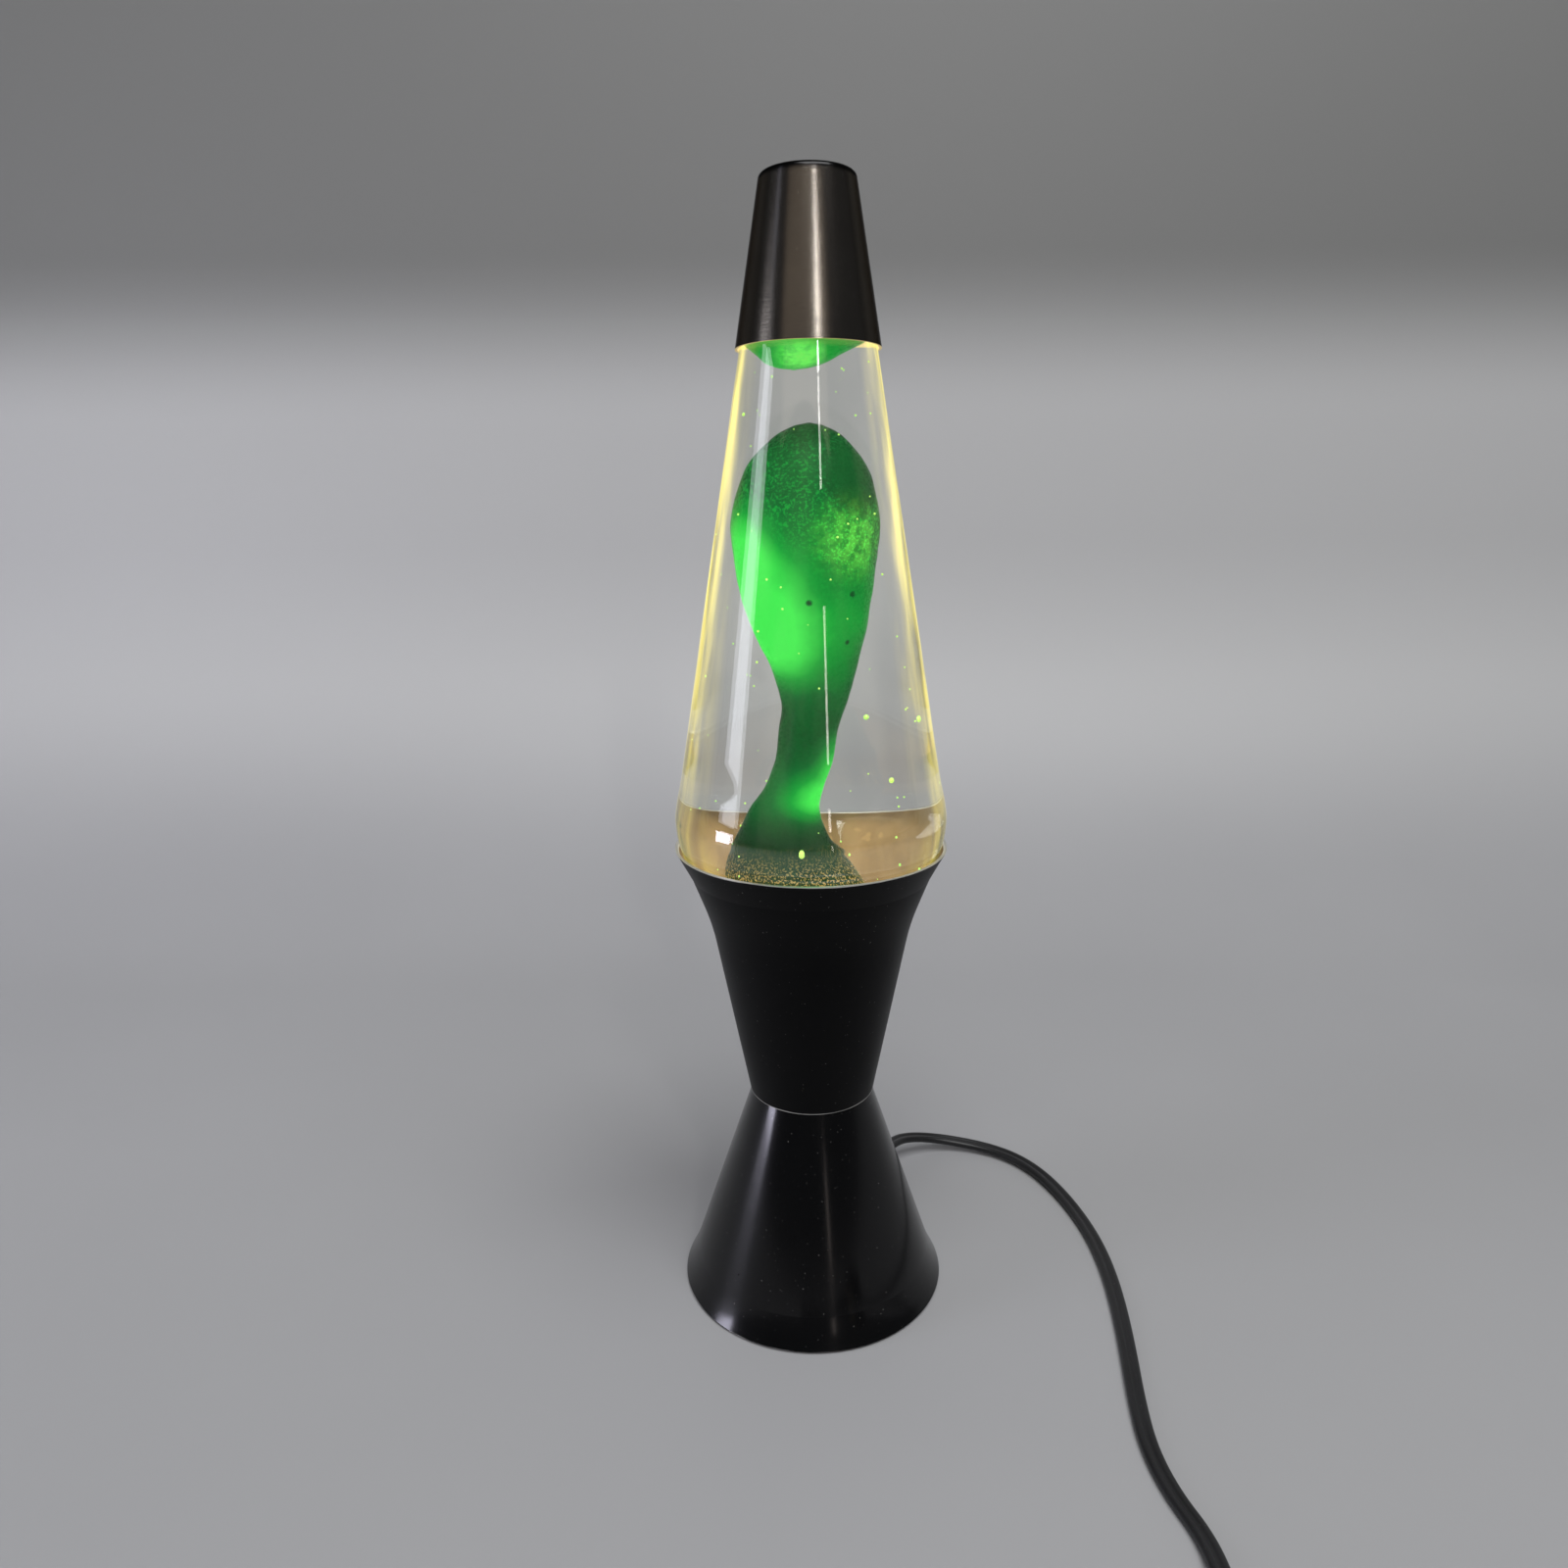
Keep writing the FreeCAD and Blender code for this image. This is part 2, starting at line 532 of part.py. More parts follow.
def make_lampholder():
    """Moulded lampholder with its threaded shell, contact, lock ring and terminal screws."""
    turned("socket_body", [
        ("0", "holder_low_z"), ("holder_r", "holder_low_z"), ("holder_r", "waist_z + metal + plate"),
        ("collar_r", "waist_z + metal + plate"), ("collar_r", "waist_z + metal + plate + collar"),
        ("holder_r", "holder_top_z"), ("shell_r", "holder_top_z"), ("shell_r", "shell_low_z"),
        ("0", "shell_low_z")])
    turned("socket_shell", [
        ("shell_bore", "shell_low_z"), ("shell_r", "shell_low_z"), ("shell_r", "holder_top_z - 1"),
        ("shell_bore", "holder_top_z - 1")])
    turned("socket_ring", [
        ("holder_r", "waist_z - metal - ring"), ("ring_r", "waist_z - metal - ring"),
        ("ring_r", "waist_z - metal"), ("holder_r", "waist_z - metal")])
    contact = new_body("socket_contact")
    tongue = new_sketch(contact, "contact_tongue", "XZ_Plane", "-contact_w / 2")
    draw_outline(tongue, [
        ("-contact_foot", "shell_low_z"), ("contact_foot", "shell_low_z"),
        ("contact_foot", "shell_low_z + leaf"), ("contact_tip + 1", "contact_top_z"),
        ("-contact_tip", "contact_top_z"), ("-contact_tip", "contact_top_z - leaf"),
        ("contact_tip", "contact_top_z - leaf"), ("contact_foot - 1.4", "shell_low_z + leaf"),
        ("-contact_foot", "shell_low_z + leaf")])
    padded(contact, tongue, "contact_w")
    screws = []
    for side in (-1, 1):
        centre = Vector(side * size("terminal_x"), 0, size("holder_low_z") - size("terminal"))
        head = Part.makeCylinder(size("terminal_r"), size("terminal"), centre)
        slot = Part.makeBox(2 * size("terminal_r"), size("screw_slot"), size("screw_slot"),
                            centre - Vector(size("terminal_r"), size("screw_slot") / 2, 0))
        screws.append(head.cut(slot))
    group("terminal_screws", screws)


# ---------------------------------------------------------------- underside


def make_bottom_cover():
    """Moulded disc pressed inside the foot, with a ring of vent slots and sockets for the feet."""
    body = turned("bottom_cover", [
        ("0", "cover_z"), ("foot_r - metal * 3.2", "cover_z"),
        ("foot_r - metal * 3.6", "cover_z + cover"), ("0", "cover_z + cover")])
    slot = new_sketch(body, "vent_slot", "XY_Plane", "cover_z")
    draw_outline(slot, [
        ("vent_in_r", "-vent_w / 2"), ("vent_out_r", "-vent_w / 2"), ("vent_out_r", "vent_w / 2"),
        ("vent_in_r", "vent_w / 2")])
    ring_of(body, pocketed(body, slot, "cover"), "vents")


def make_feet():
    """Three soft rubber feet stuck under the cover, which lift the rim off the table."""
    feet = []
    for number in range(int(size("feet"))):
        turn = math.radians(size("first_foot_deg") + number * FULL_TURN / size("feet"))
        centre = Vector(math.cos(turn), math.sin(turn), 0) * size("foot_pad_pcr")
        foot = Part.makeCylinder(size("foot_pad_r"), size("cover_z"), centre)
        rim = [edge for edge in foot.Edges if edge.BoundBox.ZMax < 0.01]
        feet.append(foot.makeFillet(size("foot_soft_r"), rim))
    group("rubber_feet", feet)


# ---------------------------------------------------------------- cord


def point_out(distance, height):
    """A point on the line of the cord's exit, at a distance from the lamp's axis."""
    heading = math.radians(size("exit_deg"))
    return Vector(math.cos(heading) * distance, math.sin(heading) * distance, height)


def make_strain_relief():
    """Moulded bushing through the wall of the cone, tapering to the cord."""
    body = turned("strain_relief", [
        ("0", "relief_in_r"), ("relief_flange_r", "relief_in_r"),
        ("relief_flange_r", "relief_in_r + 1.5"), ("relief_r", "relief_in_r + 1.5"),
        ("relief_r", "relief_out_r"), ("relief_end_r", "relief_tip_r"), ("0", "relief_tip_r")])
    heading = math.radians(size("exit_deg"))
    outward = Vector(math.cos(heading), math.sin(heading), 0)
    body.Placement = Placement(Vector(0, 0, size("exit_z")), Rotation(UP, outward))


def make_inner_wires():
    """The cord's two wires inside the base, up to the lampholder's terminals."""
    heading = math.radians(size("exit_deg"))
    sideways = Vector(-math.sin(heading), math.cos(heading), 0)
    for node, side in (("live_wire", -1), ("neutral_wire", 1)):
        foot = Vector(side * size("terminal_x"), 0, size("holder_low_z") - size("terminal"))
        beside = sideways * side * -1.5
        route = [point_out(size("relief_in_r"), size("exit_z")) + beside,
                 point_out(24, size("exit_z") + 1) + beside, point_out(12, 22) + beside * 1.5,
                 foot + Vector(0, 1.5, -16), foot]
        path = rounded_wire(route, own_radius)
        part = doc.addObject("Part::Feature", node + "_tube")
        part.Shape = round_tube(path, size("wire_r"))
        keep(node, part)


def own_radius(before, corner, after, half):
    """The largest arc that the two runs beside a corner leave room for."""
    return 0.45 * min((corner - before).Length, (after - corner).Length) / math.tan(half)


# Cord from the strain relief round the right of the lamp to the switch.
FRONT_ROUTE = [(36.3, 62.9, 10.8), (44.6, 69.6, 8.4), (55.6, 73.2, 5.4), (67.6, 72.8, 3.4),
               (79.0, 69.0, 2.6), (88.4, 62.3, 2.4), (95.4, 52.9, 2.3), (100.7, 41.3, 1.9),
               (104.9, 27.0, 1.5), (107.6, 10.0, 1.4), (107.9, -8.0, 1.4), (106.2, -27.0, 1.4),
               (103.2, -47.0, 1.4), (99.4, -68.0, 1.4), (97.2, -86.0, 1.4), (97.7, -102.0, 1.4),
               (100.2, -116.5, 1.6), (102.6, -131.0, 3.2)]

# Cord from the switch round to the hank, which it joins at the bottom.
LINK_ROUTE = [(118.2, -219.3, 3.2), (115.2, -233.0, 1.6), (106.6, -244.0, 1.4),
              (94.0, -250.4, 1.4), (80.0, -251.4, 1.4), (64.2, -248.6, 1.4),
              (47.0, -243.6, 1.4), (30.0, -241.6, 1.4)]

# Cord from the top of the hank to the plug.
TAIL_ROUTE = [(17.0, -160.4, 4.4), (31.0, -159.6, 5.4)]


def flat_section(start, heading):
    """The cord's flat section, two rounded edges and two straight ones, square to its heading."""
    across = UP.cross(heading).normalize()
    above = heading.cross(across).normalize()
    half = (size("cord_w") - size("cord_t")) / 2
    high = size("cord_t") / 2
    right_low = start + across * half - above * high
    right_top = start + across * half + above * high
    left_top = start - across * half + above * high
    left_low = start - across * half - above * high
    right = start + across * (half + high)
    left = start - across * (half + high)
    return Part.Wire([
        Part.LineSegment(left_low, right_low).toShape(), Part.Arc(right_low, right, right_top).toShape(),
        Part.LineSegment(right_top, left_top).toShape(), Part.Arc(left_top, left, left_low).toShape()])


def make_cord(node, route):
    """Flat cord along a route of straight runs joined by arcs; prints the arcs' radii."""
    radii = []

    def printed_radius(before, corner, after, half):
        radii.append(own_radius(before, corner, after, half))
        return radii[-1]

    path = rounded_wire(route, printed_radius)
    print(node, "length %.1f, radii" % path.Length, " ".join("%.0f" % radius for radius in radii))
    sweep = Part.BRepOffsetAPI.MakePipeShell(path)
    sweep.setBiNormalMode(UP)
    heading = (route[1] - route[0]).normalize()
    sweep.add(flat_section(route[0], heading))
    sweep.build()
    sweep.makeSolid()
    tube = sweep.shape()
    flat_part = (size("cord_w") - size("cord_t")) * size("cord_t")
    check_volume(tube, (flat_part + math.pi * (size("cord_t") / 2) ** 2) * path.Length)
    part = doc.addObject("Part::Feature", node + "_tube")
    part.Shape = tube
    keep(node, part)


def make_cords():
    """The whole free cord: to the switch, on to the hank, the hank itself and the plug's tail."""
    entry = switch_point(-size("switch_l") / 2, 0, size("cord_in_z"))
    leave = switch_point(size("switch_l") / 2, 0, size("cord_in_z"))
    plug_back = plug_point(0, 0, size("plug_z"))
    outer_turn = size("hank_mid_r + hank_w / 2 - cord_w / 2")
    join = Vector(size("hank_x") + 8, size("hank_y") - outer_turn, size("cord_t") / 2)
    off = Vector(size("hank_x"), size("hank_y") + outer_turn, size("cord_t") * 1.5)
    first = point_out(size("relief_tip_r"), size("exit_z"))
    make_cord("cord_front", [first] + [Vector(*point) for point in FRONT_ROUTE] + [entry])
    make_cord("cord_link", [leave] + [Vector(*point) for point in LINK_ROUTE] + [join])
    make_cord("cord_tail", [off] + [Vector(*point) for point in TAIL_ROUTE] + [plug_back])


def make_hank():
    """Outer shape of the coiled cord, and the tie round it."""
    tall = size("hank_t")
    centre = Vector(size("hank_x"), size("hank_y"), 0)
    outer = size("hank_mid_r") + size("hank_w") / 2
    inner = size("hank_mid_r") - size("hank_w") / 2
    ring = Part.makeCylinder(outer, tall, centre).cut(Part.makeCylinder(inner, tall, centre))
    coil = doc.addObject("Part::Feature", "cord_coil_ring")
    coil.Shape = ring
    keep("cord_coil", coil)
    band = size("tie")
    gap = 0.2
    long = size("hank_w") + 2 * (band + gap)
    corner = centre + Vector(-size("hank_mid_r") - long / 2, -size("tie_w") / 2, 0)
    outside = Part.makeBox(long, size("tie_w"), tall + band + gap, corner)
    hollow = Part.makeBox(long - 2 * band, size("tie_w"), tall + gap, corner + Vector(band, 0, 0))
    tie = doc.addObject("Part::Feature", "coil_tie_band")
    tie.Shape = outside.cut(hollow)
    keep("coil_tie", tie)


# ---------------------------------------------------------------- switch on the cord


def switch_point(along, across, height):
    """A point given along and across the switch, in the lamp's frame."""
    heading = math.radians(size("switch_deg"))
    return Vector(size("switch_x") + math.cos(heading) * along - math.sin(heading) * across,
                  size("switch_y") + math.sin(heading) * along + math.cos(heading) * across, height)


def switch_place():
    return Placement(Vector(size("switch_x"), size("switch_y"), 0),
                     Rotation(UP, size("switch_deg")))


def draw_box(sketch, length, width):
    """A rectangle centred on the sketch's origin."""
    long, wide = "(%s) / 2" % length, "(%s) / 2" % width
    draw_outline(sketch, [("-" + long, "-" + wide), (long, "-" + wide), (long, wide),
                          ("-" + long, wide)])


def upright(edge):
    return edge.BoundBox.ZLength > 2 and edge.BoundBox.XLength + edge.BoundBox.YLength < 0.01


def make_switch():
    """In-line rocker switch: two moulded halves, a rocker on a steel pin, and contacts."""
    lower = new_body("switch_lower")
    draw_box(new_sketch(lower, "lower_plan", "XY_Plane"), "switch_l", "switch_w")
    padded(lower, lower.Group[-1], "switch_split_z")
    round_edges(lower, upright, "switch_round")
    well = new_sketch(lower, "lower_well", "XY_Plane", "switch_wall")
    draw_box(well, "switch_l - 4 * switch_wall", "switch_w - 2 * switch_wall - 1")
    pocketed(lower, well, "switch_split_z - switch_wall")
    upper = new_body("switch_upper")
    draw_box(new_sketch(upper, "upper_plan", "XY_Plane", "switch_split_z"), "switch_l", "switch_w")
    padded(upper, upper.Group[-1], "switch_top_z - switch_split_z")
    round_edges(upper, upright, "switch_round")
    window = new_sketch(upper, "upper_window", "XY_Plane", "switch_split_z")
    draw_box(window, "2 * (rocker_r + rocker_gap)", "rocker_w + 2 * rocker_gap")
    pocketed(upper, window, "switch_top_z - switch_split_z")
    bore = new_sketch(upper, "pin_bore", "XZ_Plane", "-pin_l / 2")
    draw_circle(bore, "0", "rocker_z", "pin_r")
    pocketed(upper, bore, "pin_l", upward=True)
    for half in (lower, upper):
        doc.recompute()
        half.Placement = switch_place()
    make_rocker()
    make_switch_contacts()


def make_rocker():
    """Rocker: a drum about its pin with a shallow V on top, at rest with its on side down."""
    wide = size("rocker_w")
    height = size("rocker_z")
    drum = Part.makeCylinder(size("rocker_r"), wide, Vector(0, -wide / 2, height), Vector(0, 1, 0))
    low = height - 4
    top = height + 7.2
    tilt = math.tan(math.radians(size("rocker_tilt")))
    reach = size("rocker_r") + 1
    side = Part.makePolygon([Vector(-reach, -wide / 2, low), Vector(reach, -wide / 2, low),
                             Vector(reach, -wide / 2, top), Vector(0, -wide / 2, top - reach * tilt),
                             Vector(-reach, -wide / 2, top), Vector(-reach, -wide / 2, low)])
    block = Part.Face(side).extrude(Vector(0, wide, 0))
    bore = Part.makeCylinder(size("pin_r") + size("pin_slack"), wide,
                             Vector(0, -wide / 2, height), Vector(0, 1, 0))
    shape = drum.common(block).cut(bore)
    shape.rotate(Vector(0, 0, height), Vector(0, 1, 0), size("rocker_tilt"))
    part = doc.addObject("Part::Feature", "switch_rocker_drum")
    part.Shape = shape
    part.Placement = switch_place()
    keep("switch_rocker", part)
    long = size("pin_l")
    pin = doc.addObject("Part::Cylinder", "rocker_pin_rod")
    pin.setExpression("Radius", "Sizes.pin_r")
    pin.setExpression("Height", "Sizes.pin_l")
    pin.Placement = switch_place().multiply(
        Placement(Vector(0, long / 2, height), Rotation(UP, Vector(0, -1, 0))))
    keep("rocker_pin", pin)


def make_switch_contacts():
    """Two spring contacts on the floor of the switch."""
    floor = size("switch_wall")
    strips = []
    for side in (-1, 1):
        strip = Part.makeBox(9, 5, 0.6, Vector(side * 15 - 4.5, -2.5, floor))
        strips.append(strip)
    contacts = group("switch_contacts", strips)
    contacts.Placement = switch_place()


# ---------------------------------------------------------------- plug


def plug_point(along, across, height):
    heading = math.radians(size("plug_deg"))
    return Vector(size("plug_x") + math.cos(heading) * along - math.sin(heading) * across,
                  size("plug_y") + math.sin(heading) * along + math.cos(heading) * across, height)


def make_plug():
    """Moulded flat plug that widens to a grip, with one wide blade and one narrow one."""
    thick = size("plug_t")
    length = size("plug_l")
    middle = size("plug_z")
    tail = section_at(0, size("plug_tail_w"), size("plug_tail_t"), middle)
    neck = section_at(length * 0.45, size("plug_w") * 0.72, thick * 0.8, middle)
    face = section_at(length, size("plug_w"), thick, middle)
    place = Placement(Vector(size("plug_x"), size("plug_y"), 0), Rotation(UP, size("plug_deg")))
    body = doc.addObject("Part::Feature", "plug_body_loft")
    body.Shape = Part.makeLoft([tail, neck, face], True, True)
    body.Placement = place
    keep("plug_body", body)
    blades = []
    for side, width in ((-1, size("blade_w")), (1, size("blade_wide_w"))):
        low = middle - width / 2
        across = side * size("blade_gap") / 2 - size("blade_t") / 2
        blade = Part.makeBox(size("blade_l"), size("blade_t"), width, Vector(length, across, low))
        hole = Part.makeCylinder(1.6, 4, Vector(length + size("blade_l") * 0.72, across - 1, middle),
                                 Vector(0, 1, 0))
        blades.append(blade.cut(hole))
    pins = group("plug_blades", blades)
    pins.Placement = place


def section_at(along, width, thick, middle):
    """A rounded rectangle square to the plug's axis, centred at the given height."""
    soft = thick * 0.28
    half, high = width / 2, thick / 2
    corners = [Vector(along, -half, middle - high), Vector(along, half, middle - high),
               Vector(along, half, middle + high), Vector(along, -half, middle + high)]
    edges = []
    bend = soft * (1 - math.sqrt(0.5))
    for number, corner in enumerate(corners):
        back = (corners[number - 1] - corner).normalize()
        onward = (corners[(number + 1) % 4] - corner).normalize()
        middle_point = corner + (back + onward) * bend
        edges.append(Part.Arc(corner + back * soft, middle_point, corner + onward * soft).toShape())
        following = corners[(number + 1) % 4]
        edges.append(Part.LineSegment(corner + onward * soft, following - onward * soft).toShape())
    return Part.Wire(edges)


# ---------------------------------------------------------------- build, check and write

make_base_cone()
make_base_cup()
make_socket_plate()
make_rivets()
make_globe()
make_filling()
make_crown_cap()
make_cap()
make_bulb()
make_lampholder()
make_bottom_cover()
make_feet()
make_strain_relief()
make_inner_wires()
make_cords()
make_hank()
make_switch()
make_plug()
doc.recompute()

for item in doc.Objects:
    if "Invalid" in item.State or "Error" in item.State:
        raise RuntimeError("%s failed: %s" % (item.Name, item.State))
for part in sub_parts:
    if part.Shape.isNull() or not part.Shape.isValid():
        raise RuntimeError(part.Label + " has no valid shape")

os.makedirs("parts", exist_ok=True)
for part in sub_parts:
    part.Shape.exportStep("parts/%s.step" % part.Label)
    print("%-16s solids %d volume %.1f" % (part.Label, len(part.Shape.Solids), part.Shape.Volume))
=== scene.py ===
import math
import random

import bpy
from mathutils import Matrix, Vector, noise


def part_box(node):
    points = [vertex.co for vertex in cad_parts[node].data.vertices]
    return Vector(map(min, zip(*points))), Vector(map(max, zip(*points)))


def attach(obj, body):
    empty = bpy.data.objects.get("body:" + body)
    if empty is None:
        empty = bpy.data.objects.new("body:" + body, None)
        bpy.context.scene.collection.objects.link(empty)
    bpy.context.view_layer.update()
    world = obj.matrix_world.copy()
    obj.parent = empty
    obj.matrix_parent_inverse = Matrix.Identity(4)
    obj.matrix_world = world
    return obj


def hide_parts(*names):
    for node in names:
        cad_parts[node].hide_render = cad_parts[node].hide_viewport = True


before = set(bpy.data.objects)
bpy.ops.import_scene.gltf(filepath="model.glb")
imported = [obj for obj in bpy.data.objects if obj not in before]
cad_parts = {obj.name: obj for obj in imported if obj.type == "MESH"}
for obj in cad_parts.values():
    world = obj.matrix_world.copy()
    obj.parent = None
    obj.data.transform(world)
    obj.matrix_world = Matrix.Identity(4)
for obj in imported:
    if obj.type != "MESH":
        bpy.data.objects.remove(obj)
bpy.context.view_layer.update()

MM = 0.001

# ---------------------------------------------------------------- camera
# A short lens stands about a lamp's height in front of the lamp, at three quarters of its height
# and a touch to the left. It looks down by 14 degrees and leans by a little over half a degree.

lamp_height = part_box("cap")[1][2]
camera_data = bpy.data.cameras.new("camera")
camera_data.sensor_width = 36
camera_data.lens = 24.98
camera_data.clip_start = 0.01
camera = bpy.data.objects.new("camera", camera_data)
bpy.context.collection.objects.link(camera)
tripod = Matrix.Translation(Vector((-0.0239, -0.9568, 0.7372)) * lamp_height)
camera_tilt = Matrix.Rotation(math.radians(90 - 13.91), 4, "X")
camera_lean = Matrix.Rotation(math.radians(-0.63), 4, "Z")
camera.matrix_world = tripod @ camera_tilt @ camera_lean
bpy.context.scene.camera = camera

# ---------------------------------------------------------------- mains cord
# Flat two-wire lamp cord, 5.6 by 2.8 mm, extruded in soft black PVC with a groove between the
# wires. It runs round the lamp to the switch, and what is left is wound in a hank for storage.


class Signal:
    """A socket of a material's nodes. Sums on signals and numbers add Math nodes, and node()
    adds any other node from its type, its settings and the values or links of its sockets."""

    def __init__(self, tree, socket=None):
        self.tree = tree
        self.socket = socket

    def node(self, kind, settings=None, inputs=None, output=0):
        made = self.tree.nodes.new("ShaderNode" + kind)
        for name, value in (settings or {}).items():
            if name == "stops":
                ramp = made.color_ramp
                while len(ramp.elements) < len(value):
                    ramp.elements.new(1)
                for element, (place, colour) in zip(ramp.elements, value):
                    element.position = place
                    element.color = (*colour, 1)
            else:
                setattr(made, name, value)
        for name, value in (inputs or {}).items():
            if isinstance(value, Signal):
                self.tree.links.new(value.socket, made.inputs[name])
            elif made.inputs[name].type == "RGBA":
                made.inputs[name].default_value = (*value, 1)
            else:
                made.inputs[name].default_value = value
        return Signal(self.tree, made.outputs[output]) if made.outputs else None

    def maths(self, operation, *values):
        return self.node("Math", {"operation": operation}, dict(enumerate(values)))

    def __add__(self, other):
        return self.maths("ADD", self, other)

    def __sub__(self, other):
        return self.maths("SUBTRACT", self, other)

    def __rsub__(self, other):
        return self.maths("SUBTRACT", other, self)

    def __mul__(self, other):
        return self.maths("MULTIPLY", self, other)

    __radd__ = __add__
    __rmul__ = __mul__

    def split(self):
        """The three parts of a place or a colour."""
        made = self.node("SeparateXYZ", None, {0: self}).socket.node
        return [Signal(self.tree, output) for output in made.outputs]

    def between(self, low, high):
        """0 below low and 1 above high, with a soft step from one to the other."""
        settings = {"interpolation_type": "SMOOTHSTEP"}
        return self.node("MapRange", settings, {0: self, 1: low, 2: high})

    def mixed(self, first, second):
        """A colour that goes from the first to the second as this signal goes from 0 to 1."""
        return self.node("Mix", {"data_type": "RGBA"}, {0: self, 6: first, 7: second}, 2)

    def bump(self, depth, distance=0.0004):
        """A surface normal that follows this signal as a height."""
        return self.node("Bump", None, {"Height": self, "Strength": depth, "Distance": distance})

    def grain(self, where, scale, detail=3.0, roughness=0.5):
        """Cloudy noise from 0 to 1 with so many waves in a metre."""
        values = {"Vector": where, "Scale": scale, "Detail": detail, "Roughness": roughness}
        return self.node("TexNoise", None, values)


def new_finish(name):
    """An empty material and the signal that starts its expressions."""
    material = bpy.data.materials.new(name)
    material.use_nodes = True
    material.node_tree.nodes.clear()
    start = Signal(material.node_tree)
    return material, start


def close_finish(start, **sockets):
    """End a material's expressions in its shader. A name's underlines stand for spaces."""
    values = {name.replace("_", " "): value for name, value in sockets.items()}
    shader = start.node("BsdfPrincipled", None, values)
    start.node("OutputMaterial", None, {"Surface": shader})


def where_on(start, stretch=(1, 1, 1)):
    """A point's place in the piece's own frame, in metres, stretched along each axis."""
    place = start.node("TexCoord", output=3)
    return start.node("VectorMath", {"operation": "MULTIPLY"}, {0: place, 1: stretch})


def dress(piece, material, body):
    """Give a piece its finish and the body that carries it."""
    piece.data.materials.clear()
    piece.data.materials.append(material)
    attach(piece, body)


def moulded_plastic(name, tone, gloss, pebble):
    """Moulded plastic or rubber: fine texture from the tool, cloudy gloss and specks of dust."""
    material, start = new_finish(name)
    place = where_on(start)
    cloud = start.grain(place, 90)
    skin = start.grain(place, 2600, detail=2)
    dust = start.grain(place, 1500, detail=1).between(0.72, 0.8)
    shade = cloud.mixed([c * 0.75 for c in tone], [c * 1.5 for c in tone])
    close_finish(
        start, Base_Color=(dust * 0.35).mixed(shade, (0.20, 0.19, 0.18)),
        Roughness=cloud * 0.14 + gloss, Normal=skin.bump(pebble, 0.0002),
        Specular_IOR_Level=0.45)
    return material


cord_black = moulded_plastic("cord_black", (0.010, 0.010, 0.011), 0.30, 0.10)

CORD_WIDE = 5.6
CORD_THICK = 2.8
EXIT_TURN = math.radians(60)
EXIT_HEIGHT = 12.0
RELIEF_TIP = 62.0
SWITCH_MIDDLE = Vector((110.5, -176.0, 0))
SWITCH_TURN = math.radians(-80)
SWITCH_HALF = 31.0
SWITCH_CORD_HEIGHT = 5.0
HANK_MIDDLE = Vector((5.0, -201.0, 0))
HANK_OUTER = 40.2
HANK_PITCH = 5.65
HANK_TURNS = 6.53
PLUG_BACK = (46.0, -159.0, 6.0)

outward = Vector((math.cos(EXIT_TURN), math.sin(EXIT_TURN), 0))
cord_exit = outward * RELIEF_TIP + Vector((0, 0, EXIT_HEIGHT))
switch_way = Vector((math.cos(SWITCH_TURN), math.sin(SWITCH_TURN), 0))
switch_cord = SWITCH_MIDDLE + Vector((0, 0, SWITCH_CORD_HEIGHT))

front_route = [(36.3, 62.9, 10.8), (44.6, 69.6, 8.4), (55.6, 73.2, 5.4), (67.6, 72.8, 3.4),
               (79.0, 69.0, 2.6), (88.4, 62.3, 2.4), (95.4, 52.9, 2.3), (100.7, 41.3, 1.9),
               (104.9, 27.0, 1.5), (107.6, 10.0, 1.4), (107.9, -8.0, 1.4), (106.2, -27.0, 1.4),
               (103.2, -47.0, 1.4), (99.4, -68.0, 1.4), (97.2, -86.0, 1.4), (98.7, -102.0, 1.4),
               (103.2, -116.5, 1.6), (102.6, -131.0, 3.2)]
link_route = [(118.2, -219.3, 3.2), (115.2, -233.0, 1.6), (106.6, -244.0, 1.4),
              (94.0, -250.4, 1.4), (80.0, -251.4, 1.4), (64.2, -248.6, 1.4),
              (47.0, -243.6, 1.4), (30.0, -241.6, 1.4)]
tail_route = [(17.0, -160.4, 4.4), (31.0, -159.6, 5.4)]


def hank_turns(first_angle):
    """The hank's middle line, which winds inwards on the table and outwards on top of that."""
    steps = 130
    points = []
    for step in range(steps + 1):
        wound = HANK_TURNS * step / steps
        angle = first_angle - 2 * math.pi * wound
        inward = min(wound, HANK_TURNS - wound) * HANK_PITCH
        climb = min(max((wound - HANK_TURNS / 2) / 0.2 + 0.5, 0), 1)
        height = CORD_THICK * (0.5 + climb * climb * (3 - 2 * climb))
        ring = Vector((math.cos(angle), math.sin(angle), 0)) * (HANK_OUTER - inward)
        points.append(HANK_MIDDLE + ring + Vector((0, 0, height)))
    return points


def cord_profile():
    """The cord's section: two round lobes side by side that meet in a shallow groove."""
    lobe = CORD_THICK / 2 * MM
    opening = math.radians(140)
    places = []
    for side in (1, -1):
        for step in range(15):
            angle = side * opening * (step / 7 - 1)
            places.append((side * lobe * (1 + math.cos(angle)), lobe * math.sin(angle)))
    data = bpy.data.curves.new("cord_profile", "CURVE")
    data.dimensions = "2D"
    spline = data.splines.new("POLY")
    spline.points.add(len(places) - 1)
    for point, (across, up) in zip(spline.points, places):
        point.co = (across, up, 0, 1)
    spline.use_cyclic_u = True
    profile = bpy.data.objects.new("cord_profile", data)
    bpy.context.collection.objects.link(profile)
    profile.hide_render = True
    return profile


